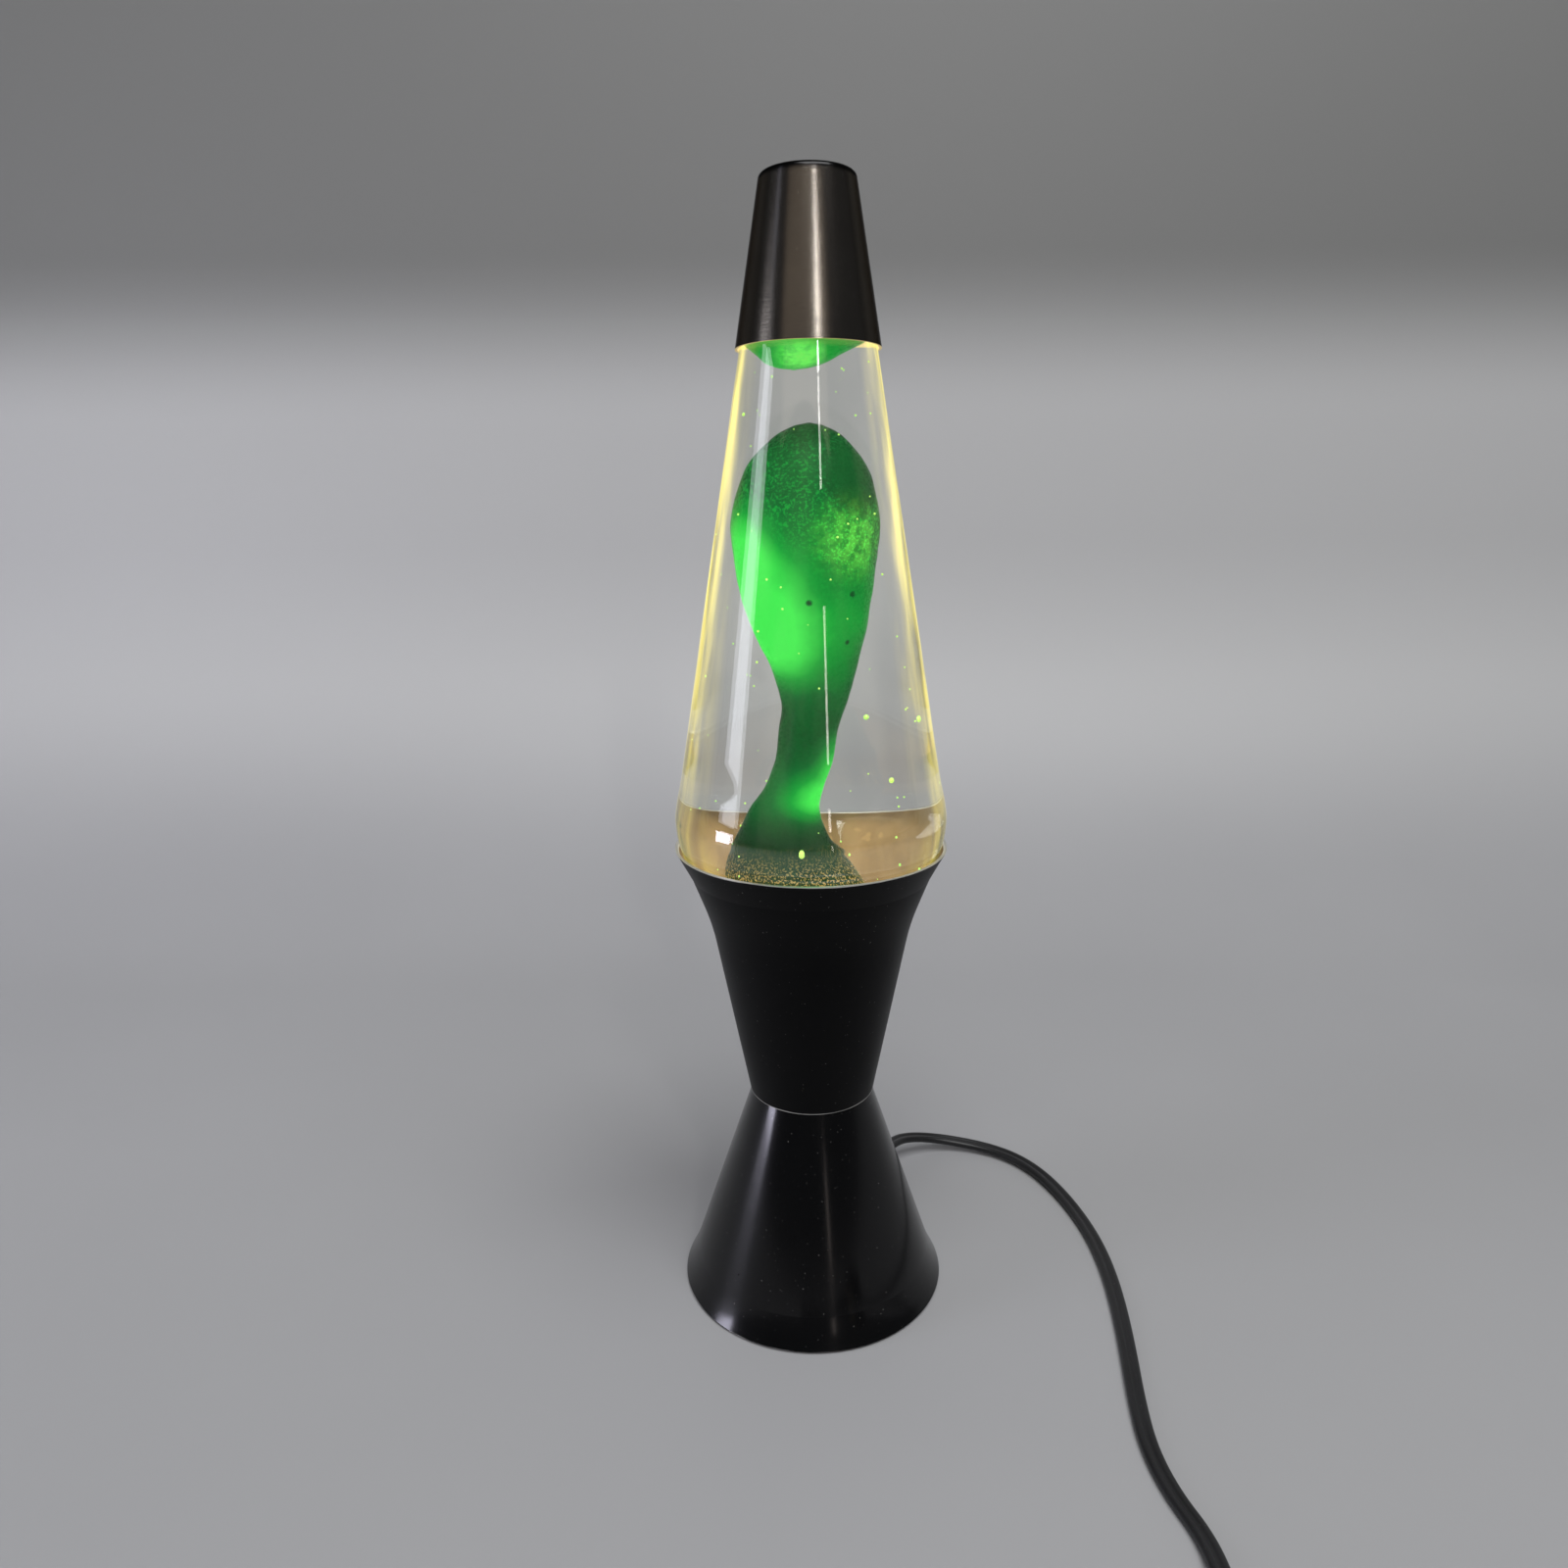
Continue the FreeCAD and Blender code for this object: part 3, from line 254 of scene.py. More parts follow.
def smooth_line(name, points, profile=None, radius=0.0):
    """A curve object along one smooth line through millimetre points."""
    data = bpy.data.curves.new(name, "CURVE")
    data.dimensions = "3D"
    data.resolution_u = 8
    spline = data.splines.new("NURBS")
    spline.points.add(len(points) - 1)
    for point, place in zip(spline.points, points):
        point.co = (*(Vector(place) * MM), 1)
    spline.order_u = 3
    spline.use_endpoint_u = True
    if profile:
        data.bevel_mode = "OBJECT"
        data.bevel_object = profile
        data.twist_mode = "Z_UP"
    else:
        data.bevel_depth = radius * MM
        data.bevel_resolution = 3
    data.use_fill_caps = True
    line = bpy.data.objects.new(name, data)
    bpy.context.collection.objects.link(line)
    return line


cord_points = [cord_exit, *front_route, switch_cord - switch_way * SWITCH_HALF,
               switch_cord + switch_way * SWITCH_HALF, *link_route]
cord_points += hank_turns(math.radians(-78.6))
cord_points += [*tail_route, PLUG_BACK]
mains_cord = smooth_line("mains_cord", cord_points, profile=cord_profile())
dress(mains_cord, cord_black, "base")
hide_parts("cord_front", "cord_link", "cord_coil", "cord_tail")

# ---------------------------------------------------------------- strain relief
# Soft moulded bushing where the cord passes through the wall of the base. It is pressed in from
# outside, keeps a collar against the wall, and tapers to the cord in a row of flexing ribs.


def mesh_piece(name, points, faces, smooth_angle=40):
    """A mesh object of millimetre points, smooth except at edges sharper than the angle."""
    data = bpy.data.meshes.new(name)
    data.from_pydata([Vector(point) * MM for point in points], [], faces)
    data.validate()
    data.shade_smooth()
    data.set_sharp_from_angle(angle=math.radians(smooth_angle))
    piece = bpy.data.objects.new(name, data)
    bpy.context.collection.objects.link(piece)
    return piece


def shaped_tube(name, rings, smooth_angle=40):
    """A closed tube through rings of points, one ring after another, with its ends filled."""
    count = len(rings[0])
    points = [point for ring in rings for point in ring]
    faces = []
    for row in range(len(rings) - 1):
        for step in range(count):
            ahead = (step + 1) % count
            faces.append((row * count + step, row * count + ahead,
                          (row + 1) * count + ahead, (row + 1) * count + step))
    faces.append(tuple(reversed(range(count))))
    faces.append(tuple(range((len(rings) - 1) * count, len(rings) * count)))
    return mesh_piece(name, points, faces, smooth_angle)


def oval_ring(middle, across, above, wide, tall, squareness=2.6, steps=40):
    """A ring of points round a soft-cornered oval."""
    ring = []
    for step in range(steps):
        angle = 2 * math.pi * step / steps
        side = math.copysign(abs(math.cos(angle)) ** (2 / squareness), math.cos(angle))
        lift = math.copysign(abs(math.sin(angle)) ** (2 / squareness), math.sin(angle))
        ring.append(middle + across * side * wide / 2 + above * lift * tall / 2)
    return ring


RELIEF_RIBS = 6
relief_across = Vector((-outward.y, outward.x, 0))
relief_up = Vector((0, 0, 1))
relief_steps = [(34.2, 11.6, 11.6), (35.4, 11.6, 11.6), (35.6, 8.4, 8.4), (43.2, 8.4, 8.4),
                (43.4, 10.6, 9.4), (44.4, 10.4, 9.2), (44.7, 8.4, 7.2)]
for rib in range(RELIEF_RIBS):
    near = 45.0 + rib * 2.75
    wide = 8.3 - rib * 0.22
    tall = 6.9 - rib * 0.42
    relief_steps += [(near, wide - 1.4, tall - 1.2), (near + 0.9, wide - 1.4, tall - 1.2),
                     (near + 1.1, wide, tall), (near + 2.5, wide - 0.2, tall - 0.4)]
relief_steps += [(61.7, 6.6, 4.4), (62.0, 6.2, 4.0)]
relief_rings = []
for reach, wide, tall in relief_steps:
    middle = outward * reach + relief_up * EXIT_HEIGHT
    relief_rings.append(oval_ring(middle, relief_across, relief_up, wide, tall))
strain_relief = shaped_tube("strain_relief_boot", relief_rings, smooth_angle=30)
dress(strain_relief, cord_black, "base")
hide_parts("strain_relief")

# ---------------------------------------------------------------- tie on the hank
# A flat strip of soft rubber, stretched once round the turns on the far side of the hank from
# the plug. It keeps the unused cord together and slides off.

TIE_EDGE = 3.0
TIE_THICK = 0.3
TIE_HALF_HIGH = 2.85
hank_inner = HANK_OUTER - HANK_TURNS / 2 * HANK_PITCH
tie_middle = HANK_MIDDLE + Vector((-(HANK_OUTER + hank_inner) / 2, 0, 3.2))
tie_half = (HANK_OUTER - hank_inner) / 2 + CORD_WIDE / 2 + 0.3
tie_turns = 48
tie_points = []
for step in range(tie_turns):
    angle = 2 * math.pi * step / tie_turns
    side = math.copysign(abs(math.cos(angle)) ** 0.4, math.cos(angle))
    lift = math.copysign(abs(math.sin(angle)) ** 0.5, math.sin(angle))
    for edge, thick in ((-TIE_EDGE, 0), (TIE_EDGE, 0), (TIE_EDGE, TIE_THICK),
                        (-TIE_EDGE, TIE_THICK)):
        offset = Vector((side * (tie_half + thick), edge, lift * (TIE_HALF_HIGH + thick)))
        tie_points.append(tie_middle + offset)
tie_faces = []
for row in range(tie_turns):
    ahead = (row + 1) % tie_turns * 4
    for step in range(4):
        beside = (step + 1) % 4
        tie_faces.append((row * 4 + step, row * 4 + beside, ahead + beside, ahead + step))
coil_tie = mesh_piece("coil_tie_strip", tie_points, tie_faces)
rubber_black = moulded_plastic("rubber_black", (0.016, 0.016, 0.016), 0.55, 0.22)
dress(coil_tie, rubber_black, "base")
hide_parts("coil_tie")

# ---------------------------------------------------------------- switch on the cord
# Two moulded shells clamped on the cord, with a rocker on a steel pin between two springy brass
# contacts. The shells are glossy black plastic with a soft draught to their sides.

switch_black = moulded_plastic("switch_black", (0.012, 0.012, 0.013), 0.22, 0.06)


def show(material, *nodes):
    """Give carried-over solids their finish."""
    for node in nodes:
        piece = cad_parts[node]
        piece.data.materials.clear()
        piece.data.materials.append(material)


def worked_metal(name, tone, dark, gloss, stretch):
    """Metal with the fine lines of its making, cloudy tarnish and a scatter of small marks."""
    material, start = new_finish(name)
    lines = start.grain(where_on(start, stretch), 900, detail=4)
    cloud = start.grain(where_on(start), 120)
    marks = start.grain(where_on(start), 1800, detail=1).between(0.70, 0.76)
    shade = cloud.mixed(tone, [c * dark for c in tone])
    close_finish(
        start, Base_Color=(marks * 0.5).mixed(shade, [c * 0.4 for c in tone]),
        Metallic=1.0, Roughness=lines * 0.16 + gloss, Normal=lines.bump(0.12, 0.0001))
    return material


zinc_steel = worked_metal("zinc_steel", (0.55, 0.56, 0.58), 0.7, 0.24, (1, 1, 3))
plated_brass = worked_metal("plated_brass", (0.74, 0.62, 0.38), 0.75, 0.18, (1, 1, 6))
show(switch_black, "switch_lower", "switch_upper", "switch_rocker")
show(zinc_steel, "rocker_pin")
show(plated_brass, "switch_contacts")

# ---------------------------------------------------------------- plug
# Flat moulded plug with two folded brass blades, one wider than the other so that it goes into
# the wall only one way round.

show(switch_black, "plug_body")
show(plated_brass, "plug_blades")

# ---------------------------------------------------------------- lower cone
# Spun aluminium cone that carries everything, stoved in gloss black. Its foot flares out and
# its rim is curled in. The curl's raw edge shows bare metal where the paint has rubbed off.


def black_paint(name, gloss, coat, bare_bands):
    """Black paint on spun aluminium: faint rings of the spinning under the gloss, specks of
    dust, bare metal in bands at some heights, and the streaked inside, whose warm gold-brown
    colour and glow are painted bulb light, weaker to one side and near the top edge."""
    material, start = new_finish(name)
    place = where_on(start)
    across, _, height = place.split()
    normal = start.node("NewGeometry", output=1)
    radial = where_on(start, (1, 1, 0))
    facing = start.node("VectorMath", {"operation": "DOT_PRODUCT"}, {0: radial, 1: normal}, 1)
    inside = (facing * -1).between(0.0, 0.002)
    peel = start.grain(place, 700, detail=2)
    rings = start.grain(where_on(start, (0.02, 0.02, 1)), 1500, detail=2)
    cloud = start.grain(place, 60)
    specks = start.grain(place, 1300, detail=1).between(0.755, 0.80)
    rubbed = height + (cloud - 0.5) * 0.0009
    bare = 0.0
    for low, high in bare_bands:
        above = rubbed.between(low, low + 0.0002)
        bare = above * (1 - rubbed.between(high, high + 0.0002)) + bare
    tone = cloud.mixed((0.0008, 0.0009, 0.0012), (0.0022, 0.0023, 0.0026))
    tone = (specks * 0.5).mixed(tone, (0.24, 0.23, 0.22))
    streaks = start.grain(where_on(start, (1, 1, 0.1)), 240, detail=3).between(0.3, 0.7)
    # Spots where the inside's painted glow is stronger.
    painted_glow_spots = start.grain(place, 300, detail=1).between(0.66, 0.72)
    # The inside's streaked gold-brown colour is painted warm bulb light on bare metal.
    painted_warm_lining = streaks.mixed((0.125, 0.084, 0.040), (0.165, 0.118, 0.060))
    # Painted bulb light glowing on the inside, streaked and spotted, weaker towards +x and fading
    # out near the cup's rim.
    glow = inside * height.between(0.06, 0.165) * (streaks * 0.4 + 0.5) + inside * painted_glow_spots
    glow = glow * (1 - across.between(-0.01, 0.05) * 0.55)
    glow = glow * (1 - height.between(0.157, 0.1635) * 0.9)
    close_finish(
        start, Base_Color=bare.mixed(inside.mixed(tone, painted_warm_lining), (0.78, 0.77, 0.74)),
        Metallic=bare,
        Roughness=cloud * 0.10 + gloss + inside * 0.25, Specular_IOR_Level=0.10,
        Coat_Weight=coat, Coat_Roughness=0.14,
        Emission_Color=glow.mixed((0, 0, 0), (0.33, 0.20, 0.070)), Emission_Strength=1.0,
        Normal=(peel * 0.6 + rings * 0.4).bump(0.025, 0.0002))
    return material


# The cone's inside gets the same painted bulb light.
cone_paint = black_paint("cone_paint", 0.20, 0.5, [(0.0, 0.0008)])
show(cone_paint, "base_cone")

# ---------------------------------------------------------------- upper cup
# Spun aluminium cup, flanged and riveted to the cone at the waist, in a softer satin black. The
# cut edges at its rim and its waist are bare metal, and its inside has the bulb's light painted
# on, as a warm colour and a glow.

cup_paint = black_paint("cup_paint", 0.36, 0.0, [(0.07395, 0.0742), (0.1631, 0.2)])
show(cup_paint, "base_cup")
show(zinc_steel, "socket_plate", "waist_rivets")

# ---------------------------------------------------------------- bulb and lampholder
# A clear 40 W bulb with a small screw base stands in a moulded holder that a ring locks in the
# waist. Its tungsten wire glows warm white, and it both heats and lights the globe above it.

holder_cream = moulded_plastic("holder_cream", (0.30, 0.27, 0.21), 0.42, 0.10)
show(holder_cream, "socket_body", "socket_ring")
show(plated_brass, "socket_shell", "socket_contact", "terminal_screws", "bulb_screw_base")
show(zinc_steel, "bulb_tip")
show(switch_black, "bulb_insulator")


def clear_glass(name, tone, bend, haze, glow=(0, 0, 0), spread=(0, 1), low=0, high=1):
    """Clear glass or liquid that bends light, with faint smears. Its edges carry a painted glow
    in place of light that is caught in the wall and comes out, from nothing at the low height
    to full at the high."""
    material, start = new_finish(name)
    place = where_on(start)
    height = place.split()[2]
    smears = start.grain(place, 70, detail=4)
    rim = start.node("LayerWeight", None, {"Blend": 0.5}, 1).between(*spread)
    streaks = start.grain(where_on(start, (1, 1, 0.12)), 130, detail=2)
    # Painted edge glow: streaked, and rising from nothing at the low height.
    lit = height.between(low, high) * (streaks.between(0.3, 0.7) * 0.9 + 0.1)
    close_finish(
        start, Base_Color=smears.mixed(tone, [c * 0.985 for c in tone]), IOR=bend,
        Transmission_Weight=1.0, Roughness=smears.between(0.62, 0.9) * haze,
        Emission_Color=(rim * lit).mixed((0, 0, 0), glow), Emission_Strength=1.0)
    return material


bulb_clear = clear_glass("bulb_clear", (1.0, 0.98, 0.94), 1.5, 0.02)
show(bulb_clear, "bulb_envelope", "bulb_stem")

hot_wire, start = new_finish("hot_wire")
wire_heat = start.grain(where_on(start), 800)
close_finish(start, Base_Color=(0.1, 0.1, 0.1), Roughness=0.5,
             Emission_Color=wire_heat.mixed((1.0, 0.52, 0.18), (1.0, 0.74, 0.42)),
             Emission_Strength=12.0)
show(hot_wire, "bulb_filament")

# ---------------------------------------------------------------- glass globe
# Blown and turned clear glass, 3 mm thick, tall and tapering, with a pushed-up bottom, a rounded
# heel, a bead neck for the crown cap, and a seat that rests inside the cup's rim.


def swept(first, last, radius, steps=14):
    """Points on an arc from the first to the last, bulging to the right of the way."""
    first, last = Vector(first), Vector(last)
    way = last - first
    side = Vector((way.y, -way.x)).normalized()
    depth = math.sqrt(radius * radius - way.length_squared / 4)
    centre = (first + last) / 2 - side * depth
    sweep = 2 * math.asin(way.length / 2 / radius)
    start = first - centre
    return [centre + Matrix.Rotation(sweep * step / steps, 2) @ start
            for step in range(steps + 1)]


def along(first, last, steps):
    """Evenly spaced points after the first one, up to the last."""
    first, last = Vector(first), Vector(last)
    return [first.lerp(last, step / steps) for step in range(1, steps + 1)]


def inset(outline, wall):
    """The outline moved to the left of its way by the wall's thickness."""
    moved = []
    for index, point in enumerate(outline):
        before = outline[max(index - 1, 0)]
        after = outline[min(index + 1, len(outline) - 1)]
        way = (after - before).normalized()
        moved.append(point + Vector((-way.y, way.x)) * wall)
    return moved


def eased_creases(outline, low, high, rounds):
    """The outline with its creases between two heights drawn out, as hot glass flows."""
    soft = list(outline)
    for _ in range(rounds):
        middles = [(before + after) / 2 for before, after in zip(soft, soft[2:])]
        for index, middle in enumerate(middles, start=1):
            if low < soft[index].y < high:
                soft[index] = soft[index].lerp(middle, 0.5)
    return soft


def spun(name, outline, closed=True, turns=224, smooth_angle=40):
    """A piece turned about the lamp's axis from an outline of distances out and heights."""
    points, faces, rows = [], [], []
    for out, high in outline:
        if out < 0.01:
            rows.append([len(points)] * turns)
            points.append((0, 0, high))
            continue
        rows.append(list(range(len(points), len(points) + turns)))
        for step in range(turns):
            angle = 2 * math.pi * step / turns
            points.append((out * math.cos(angle), out * math.sin(angle), high))
    pairs = list(zip(rows, rows[1:]))
    if closed:
        pairs.append((rows[-1], rows[0]))
    for low, high in pairs:
        for step in range(turns):
            ahead = (step + 1) % turns
            face = dict.fromkeys((low[step], low[ahead], high[ahead], high[step]))
            if len(face) > 2:
                faces.append(tuple(face))
    return mesh_piece(name, points, faces, smooth_angle)


GLASS_WALL = 3.0
heel = swept((25.5, 132.0), (31.5, 137.6), 6.6)
belly = swept((42.85, 161.0), (45.2, 173.5), 34.4) + swept((45.2, 173.5), (43.3, 183.7), 28.5)[1:]
shoulder = swept((19.2, 331.0), (12.4, 339.5), 7.5)
globe_wall = [Vector((0, 136.0)), Vector((10.0, 135.4)), Vector((20.4, 134.0)),
              Vector((23.4, 132.4)), *heel, *along(heel[-1], (39.0, 153.9), 8),
              *along((39.0, 153.9), (42.85, 161.0), 6)[:-1], *belly,
              *along(belly[-1], (41.3, 195.9), 14), *along((41.3, 195.9), (21.0, 319.8), 36),
              *along((21.0, 319.8), (19.2, 331.0), 4)[:-1], *shoulder]
globe_wall = eased_creases(globe_wall, 174.5, 194.0, 40)
neck = [Vector((12.4, 344.3)), Vector((13.3, 345.5)), Vector((13.3, 348.6)),
        Vector((12.6, 349.0)), Vector((10.0, 349.0)), Vector((9.4, 348.4))]
inner_wall = inset(globe_wall, GLASS_WALL)
inner_wall[0] = Vector((0, 139.0))
inner_wall[-1] = Vector((9.4, 339.5))
globe_glass = spun("globe_glass", globe_wall + neck + inner_wall[::-1], closed=False)
# The yellow glow at the glass's edges is painted light.
lamp_glass = clear_glass("lamp_glass", (0.99, 1.0, 0.985), 1.5, 0.05, glow=(0.95, 0.80, 0.10),
                         spread=(0.30, 0.72), low=0.08, high=0.31)
dress(globe_glass, lamp_glass, "globe")
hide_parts("globe")
globe_glass.visible_shadow = False

# ---------------------------------------------------------------- liquid
# Clear water-based filling that reaches up into the neck. It bends light so strongly that the
# glass looks full, and it has a slight warm tint, with a faint even painted glow in place of light
# from the lit wax.

FILL_HEIGHT = 327.0
filled = [point for point in inner_wall if point.y < FILL_HEIGHT]
filled = inset(filled, -0.06)
filled[0] = Vector((0, 138.94))
surface = [Vector((filled[-1].x, FILL_HEIGHT)), Vector((0, FILL_HEIGHT))]
lamp_liquid = spun("lamp_liquid", filled + surface, closed=False)
# A faint even warm glow is painted light.
liquid_clear = clear_glass("liquid_clear", (0.985, 0.985, 0.96), 1.333, 0.0,
                           glow=(0.020, 0.017, 0.013), spread=(-0.6, -0.2), low=-2, high=-1)
dress(lamp_liquid, liquid_clear, "globe")
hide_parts("liquid")
lamp_liquid.visible_shadow = False

# ---------------------------------------------------------------- spring coil
# A closed loop of fine coiled steel wire that lies in the bottom of the globe. It breaks the
# sinking wax up so that the blobs join again and warm through.

COIL_TURNS = 74
COIL_RING = 21.0
COIL_LOOP = 2.0
COIL_HEIGHT = 141.6
COIL_WIRE = 0.38
coil_points = []
for step in range(COIL_TURNS * 12 + 1):
    round_lamp = 2 * math.pi * step / (COIL_TURNS * 12)
    round_wire = round_lamp * COIL_TURNS
    out = COIL_RING + COIL_LOOP * math.cos(round_wire)
    coil_points.append((out * math.cos(round_lamp), out * math.sin(round_lamp),
                        COIL_HEIGHT + COIL_LOOP * math.sin(round_wire)))
spring_coil = smooth_line("spring_coil", coil_points, radius=COIL_WIRE)
dress(spring_coil, zinc_steel, "globe")
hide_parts("wire_coil")

# ---------------------------------------------------------------- wax column
# Soft green wax that rises from the bottom in one warm blob on a twisting stalk. Its light and
# shade are painted into its glow: painted light on its lower left, where the bulb would shine up
# through it, and painted shade on its dim, grainy crown, with small pits painted as dark spots.

WAX_LEVELS = [(139.6, 0, 15.5), (142, 0, 17.5), (147, -1, 19), (154, -3, 18), (161, -5.4, 15.4),
              (167, -7.0, 11.6), (176, -6.4, 8.8), (184, -4.1, 7.4), (193, -1.5, 7.1),
              (203, -0.3, 7.3), (212, 1.0, 8.2), (222, 1.1, 10.3), (234, 0, 13.7),
              (246, -0.9, 16.0), (258, -1.0, 17.2), (268, -1.0, 17.5), (278, -0.7, 15.9),
              (286.5, -0.5, 12.9), (293.3, -0.1, 8.0), (296.4, 0.1, 3.4)]
WAX_TOP = 297.2


def eased(levels, steps):
    """Rows between the given ones, on a smooth curve through them all."""
    rows = []
    for index in range(len(levels) - 1):
        around = [levels[min(max(index + shift, 0), len(levels) - 1)] for shift in (-1, 0, 1, 2)]
        for step in range(steps):
            t = step / steps
            weights = (-t ** 3 + 2 * t * t - t, 3 * t ** 3 - 5 * t * t + 2,
                       -3 * t ** 3 + 4 * t * t + t, t ** 3 - t * t)
            rows.append([sum(w * row[axis] for w, row in zip(weights, around)) / 2
                         for axis in range(3)])
    rows.append(list(levels[-1]))
    return rows


def soft_lump(name, rows, tip, base, ripple):
    """A closed lump of wax through round rows, its surface stirred by slow ripples."""
    turns = 120
    points, faces = [], []
    for high, aside, out in rows:
        for step in range(turns):
            angle = 2 * math.pi * step / turns
            place = Vector((aside + out * math.cos(angle), out * math.sin(angle), high))
            stir = noise.noise(place * 0.09) + 0.35 * noise.noise(place * 0.31)
            place += Vector((math.cos(angle), math.sin(angle), 0)) * stir * ripple
            points.append(place)
    for row in range(len(rows) - 1):
        for step in range(turns):
            ahead = (step + 1) % turns
            faces.append((row * turns + step, row * turns + ahead,
                          (row + 1) * turns + ahead, (row + 1) * turns + step))
    points += [tip, base]
    last = (len(rows) - 1) * turns
    for step in range(turns):
        ahead = (step + 1) % turns
        faces.append((last + step, last + ahead, len(points) - 2))
        faces.append((ahead, step, len(points) - 1))
    return mesh_piece(name, points, faces, 80)


def wax_finish(name, painted_light_tones, painted_lights, painted_shades, crust=(0, 0, 1), crust_reach=0.001):
    """Green wax whose light and shade are painted into its glow: painted light where light would
    soak through from below, and painted shade where it is thick and low down. It has a grainy
    skin, painted gold glints near the coil, a crinkled crust painted as a brighter patch in one
    place, and fine veins."""
    material, start = new_finish(name)
    place = where_on(start)
    height = place.split()[2]

    def near(centre, reach):
        away = start.node("VectorMath", {"operation": "DISTANCE"}, {0: place, 1: centre}, 1)
        return 1 - away.between(reach * 0.15, reach)

    cloud = start.grain(place, 90, detail=3)
    grain = start.grain(place, 1100, detail=3, roughness=0.7)
    crinkle = start.grain(place, 330, detail=4, roughness=0.6)
    # Painted light level: cloudy, raised by spots of painted light and lowered by spots of painted
    # shade.
    shade = cloud * 0.24 + 0.06
    for centre, reach, strength in painted_lights:
        shade = shade + near(centre, reach) * strength
    for centre, reach, strength in painted_shades:
        shade = shade - near(centre, reach) * strength
    # Where the painted light is dim, on the crown, brighter specks of painted glow.
    painted_dim = 1 - shade.between(0.25, 0.7)
    speckle = grain.between(0.50, 0.62) * painted_dim * height.between(0.225, 0.27)
    # The crinkled crust is drawn as a brighter patch of painted glow.
    crust_painted_bright = near(crust, crust_reach) * (crinkle.between(0.36, 0.60) * 0.65 + 0.35)
    shade = shade + speckle * 0.34 + crust_painted_bright * 0.46
    # Painted shade low down, in the glow and in the base colour.
    painted_foot_shade = 1 - height.between(0.166, 0.181)
    glint_band = 1 - height.between(0.155, 0.1675)
    # Painted gold glints near the coil.
    painted_gold_glints = start.grain(place, 1900, detail=2).between(0.53, 0.59) * glint_band
    # The glow runs from painted shade to painted light.
    lit = shade.node("ValToRGB", {"stops": painted_light_tones}, {0: shade * (1 - painted_foot_shade * 0.92)})
    lit = painted_gold_glints.mixed((crust_painted_bright * 0.35).mixed(lit, (0.28, 0.75, 0.08)), (0.70, 0.45, 0.14))
    skin = grain.mixed((0.000, 0.040, 0.006), (0.002, 0.10, 0.014))
    close_finish(
        start, Base_Color=(painted_foot_shade * 0.85).mixed(skin, (0.004, 0.014, 0.004)),
        Roughness=grain * 0.2 + 0.18, Emission_Color=lit, Emission_Strength=1.0,
        Specular_IOR_Level=0.02,
        Normal=(grain * 0.3 + crinkle * 0.4 + cloud * 0.3).bump(0.30, 0.0006))
    return material


column_rows = eased(WAX_LEVELS, 7)
wax_blob = soft_lump("wax_blob", column_rows, (0.1, 0, WAX_TOP), (0, 0, 139.6), 0.35)
# Glow colours from painted shade to painted light.
WAX_PAINTED_LIGHT_TONES = [(0.0, (0.000, 0.012, 0.004)), (0.3, (0.000, 0.075, 0.014)),
             (0.65, (0.004, 0.30, 0.030)), (1.0, (0.060, 0.86, 0.085))]
# Spots of painted light on the blob.
blob_painted_lights = [((-0.017, -0.009, 0.240), 0.033, 0.95), ((0.000, -0.006, 0.226), 0.024, 0.25),
              ((0.014, -0.006, 0.243), 0.020, 0.30), ((0.004, -0.003, 0.180), 0.018, 0.85),
              ((0.000, -0.014, 0.262), 0.020, 0.20), ((-0.019, -0.006, 0.264), 0.019, 0.55),
              ((0.0085, -0.004, 0.195), 0.011, 0.50)]
# Spots of painted shade on the blob; the three smallest are pits painted dark.
blob_painted_shades = [((0.0125, -0.009, 0.2815), 0.014, 0.95), ((0.0, 0.0, 0.303), 0.024, 0.42),
               ((-0.0005, -0.0160, 0.2445), 0.0012, 0.9), ((0.0112, -0.0112, 0.2465), 0.0014, 0.9),
               ((0.0090, -0.0090, 0.2318), 0.0012, 0.9), ((-0.008, -0.006, 0.205), 0.020, 0.20)]
blob_wax = wax_finish("blob_wax", WAX_PAINTED_LIGHT_TONES, blob_painted_lights, blob_painted_shades,
                      (0.0115, -0.0110, 0.2635), 0.0165)
dress(wax_blob, blob_wax, "globe")
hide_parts("wax_column")

# ---------------------------------------------------------------- wax pool
# Wax that has reached the top floats against the liquid's surface as a shallow lens, with a
# spot of painted light in its glow where the lamp would light it through, and a slow swirl in it.

POOL_LEVELS = [(312.5, -3.3, 1.2), (312.9, -3.2, 3.7), (314.4, -2.9, 7.0), (316.6, -2.2, 9.4),
               (318.7, -1.5, 11.8), (320.4, -1.0, 13.6), (323.0, -0.4, 15.4), (326.2, 0, 15.9)]
wax_lens = soft_lump("wax_lens", eased(POOL_LEVELS, 4), (0, 0, 326.5), (-3.3, 0, 312.2), 0.2)
pool_wax = wax_finish("pool_wax", WAX_PAINTED_LIGHT_TONES, [((-0.003, -0.010, 0.314), 0.03, 0.52)], [],
                      (-0.002, -0.008, 0.3165), 0.008)
dress(wax_lens, pool_wax, "globe")
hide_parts("wax_pool")

# ---------------------------------------------------------------- wax droplets
# Beads of wax as small as sand that hang in the liquid. The largest few are one and a half to
# two millimetres across, near the right-hand wall and in front of the column.

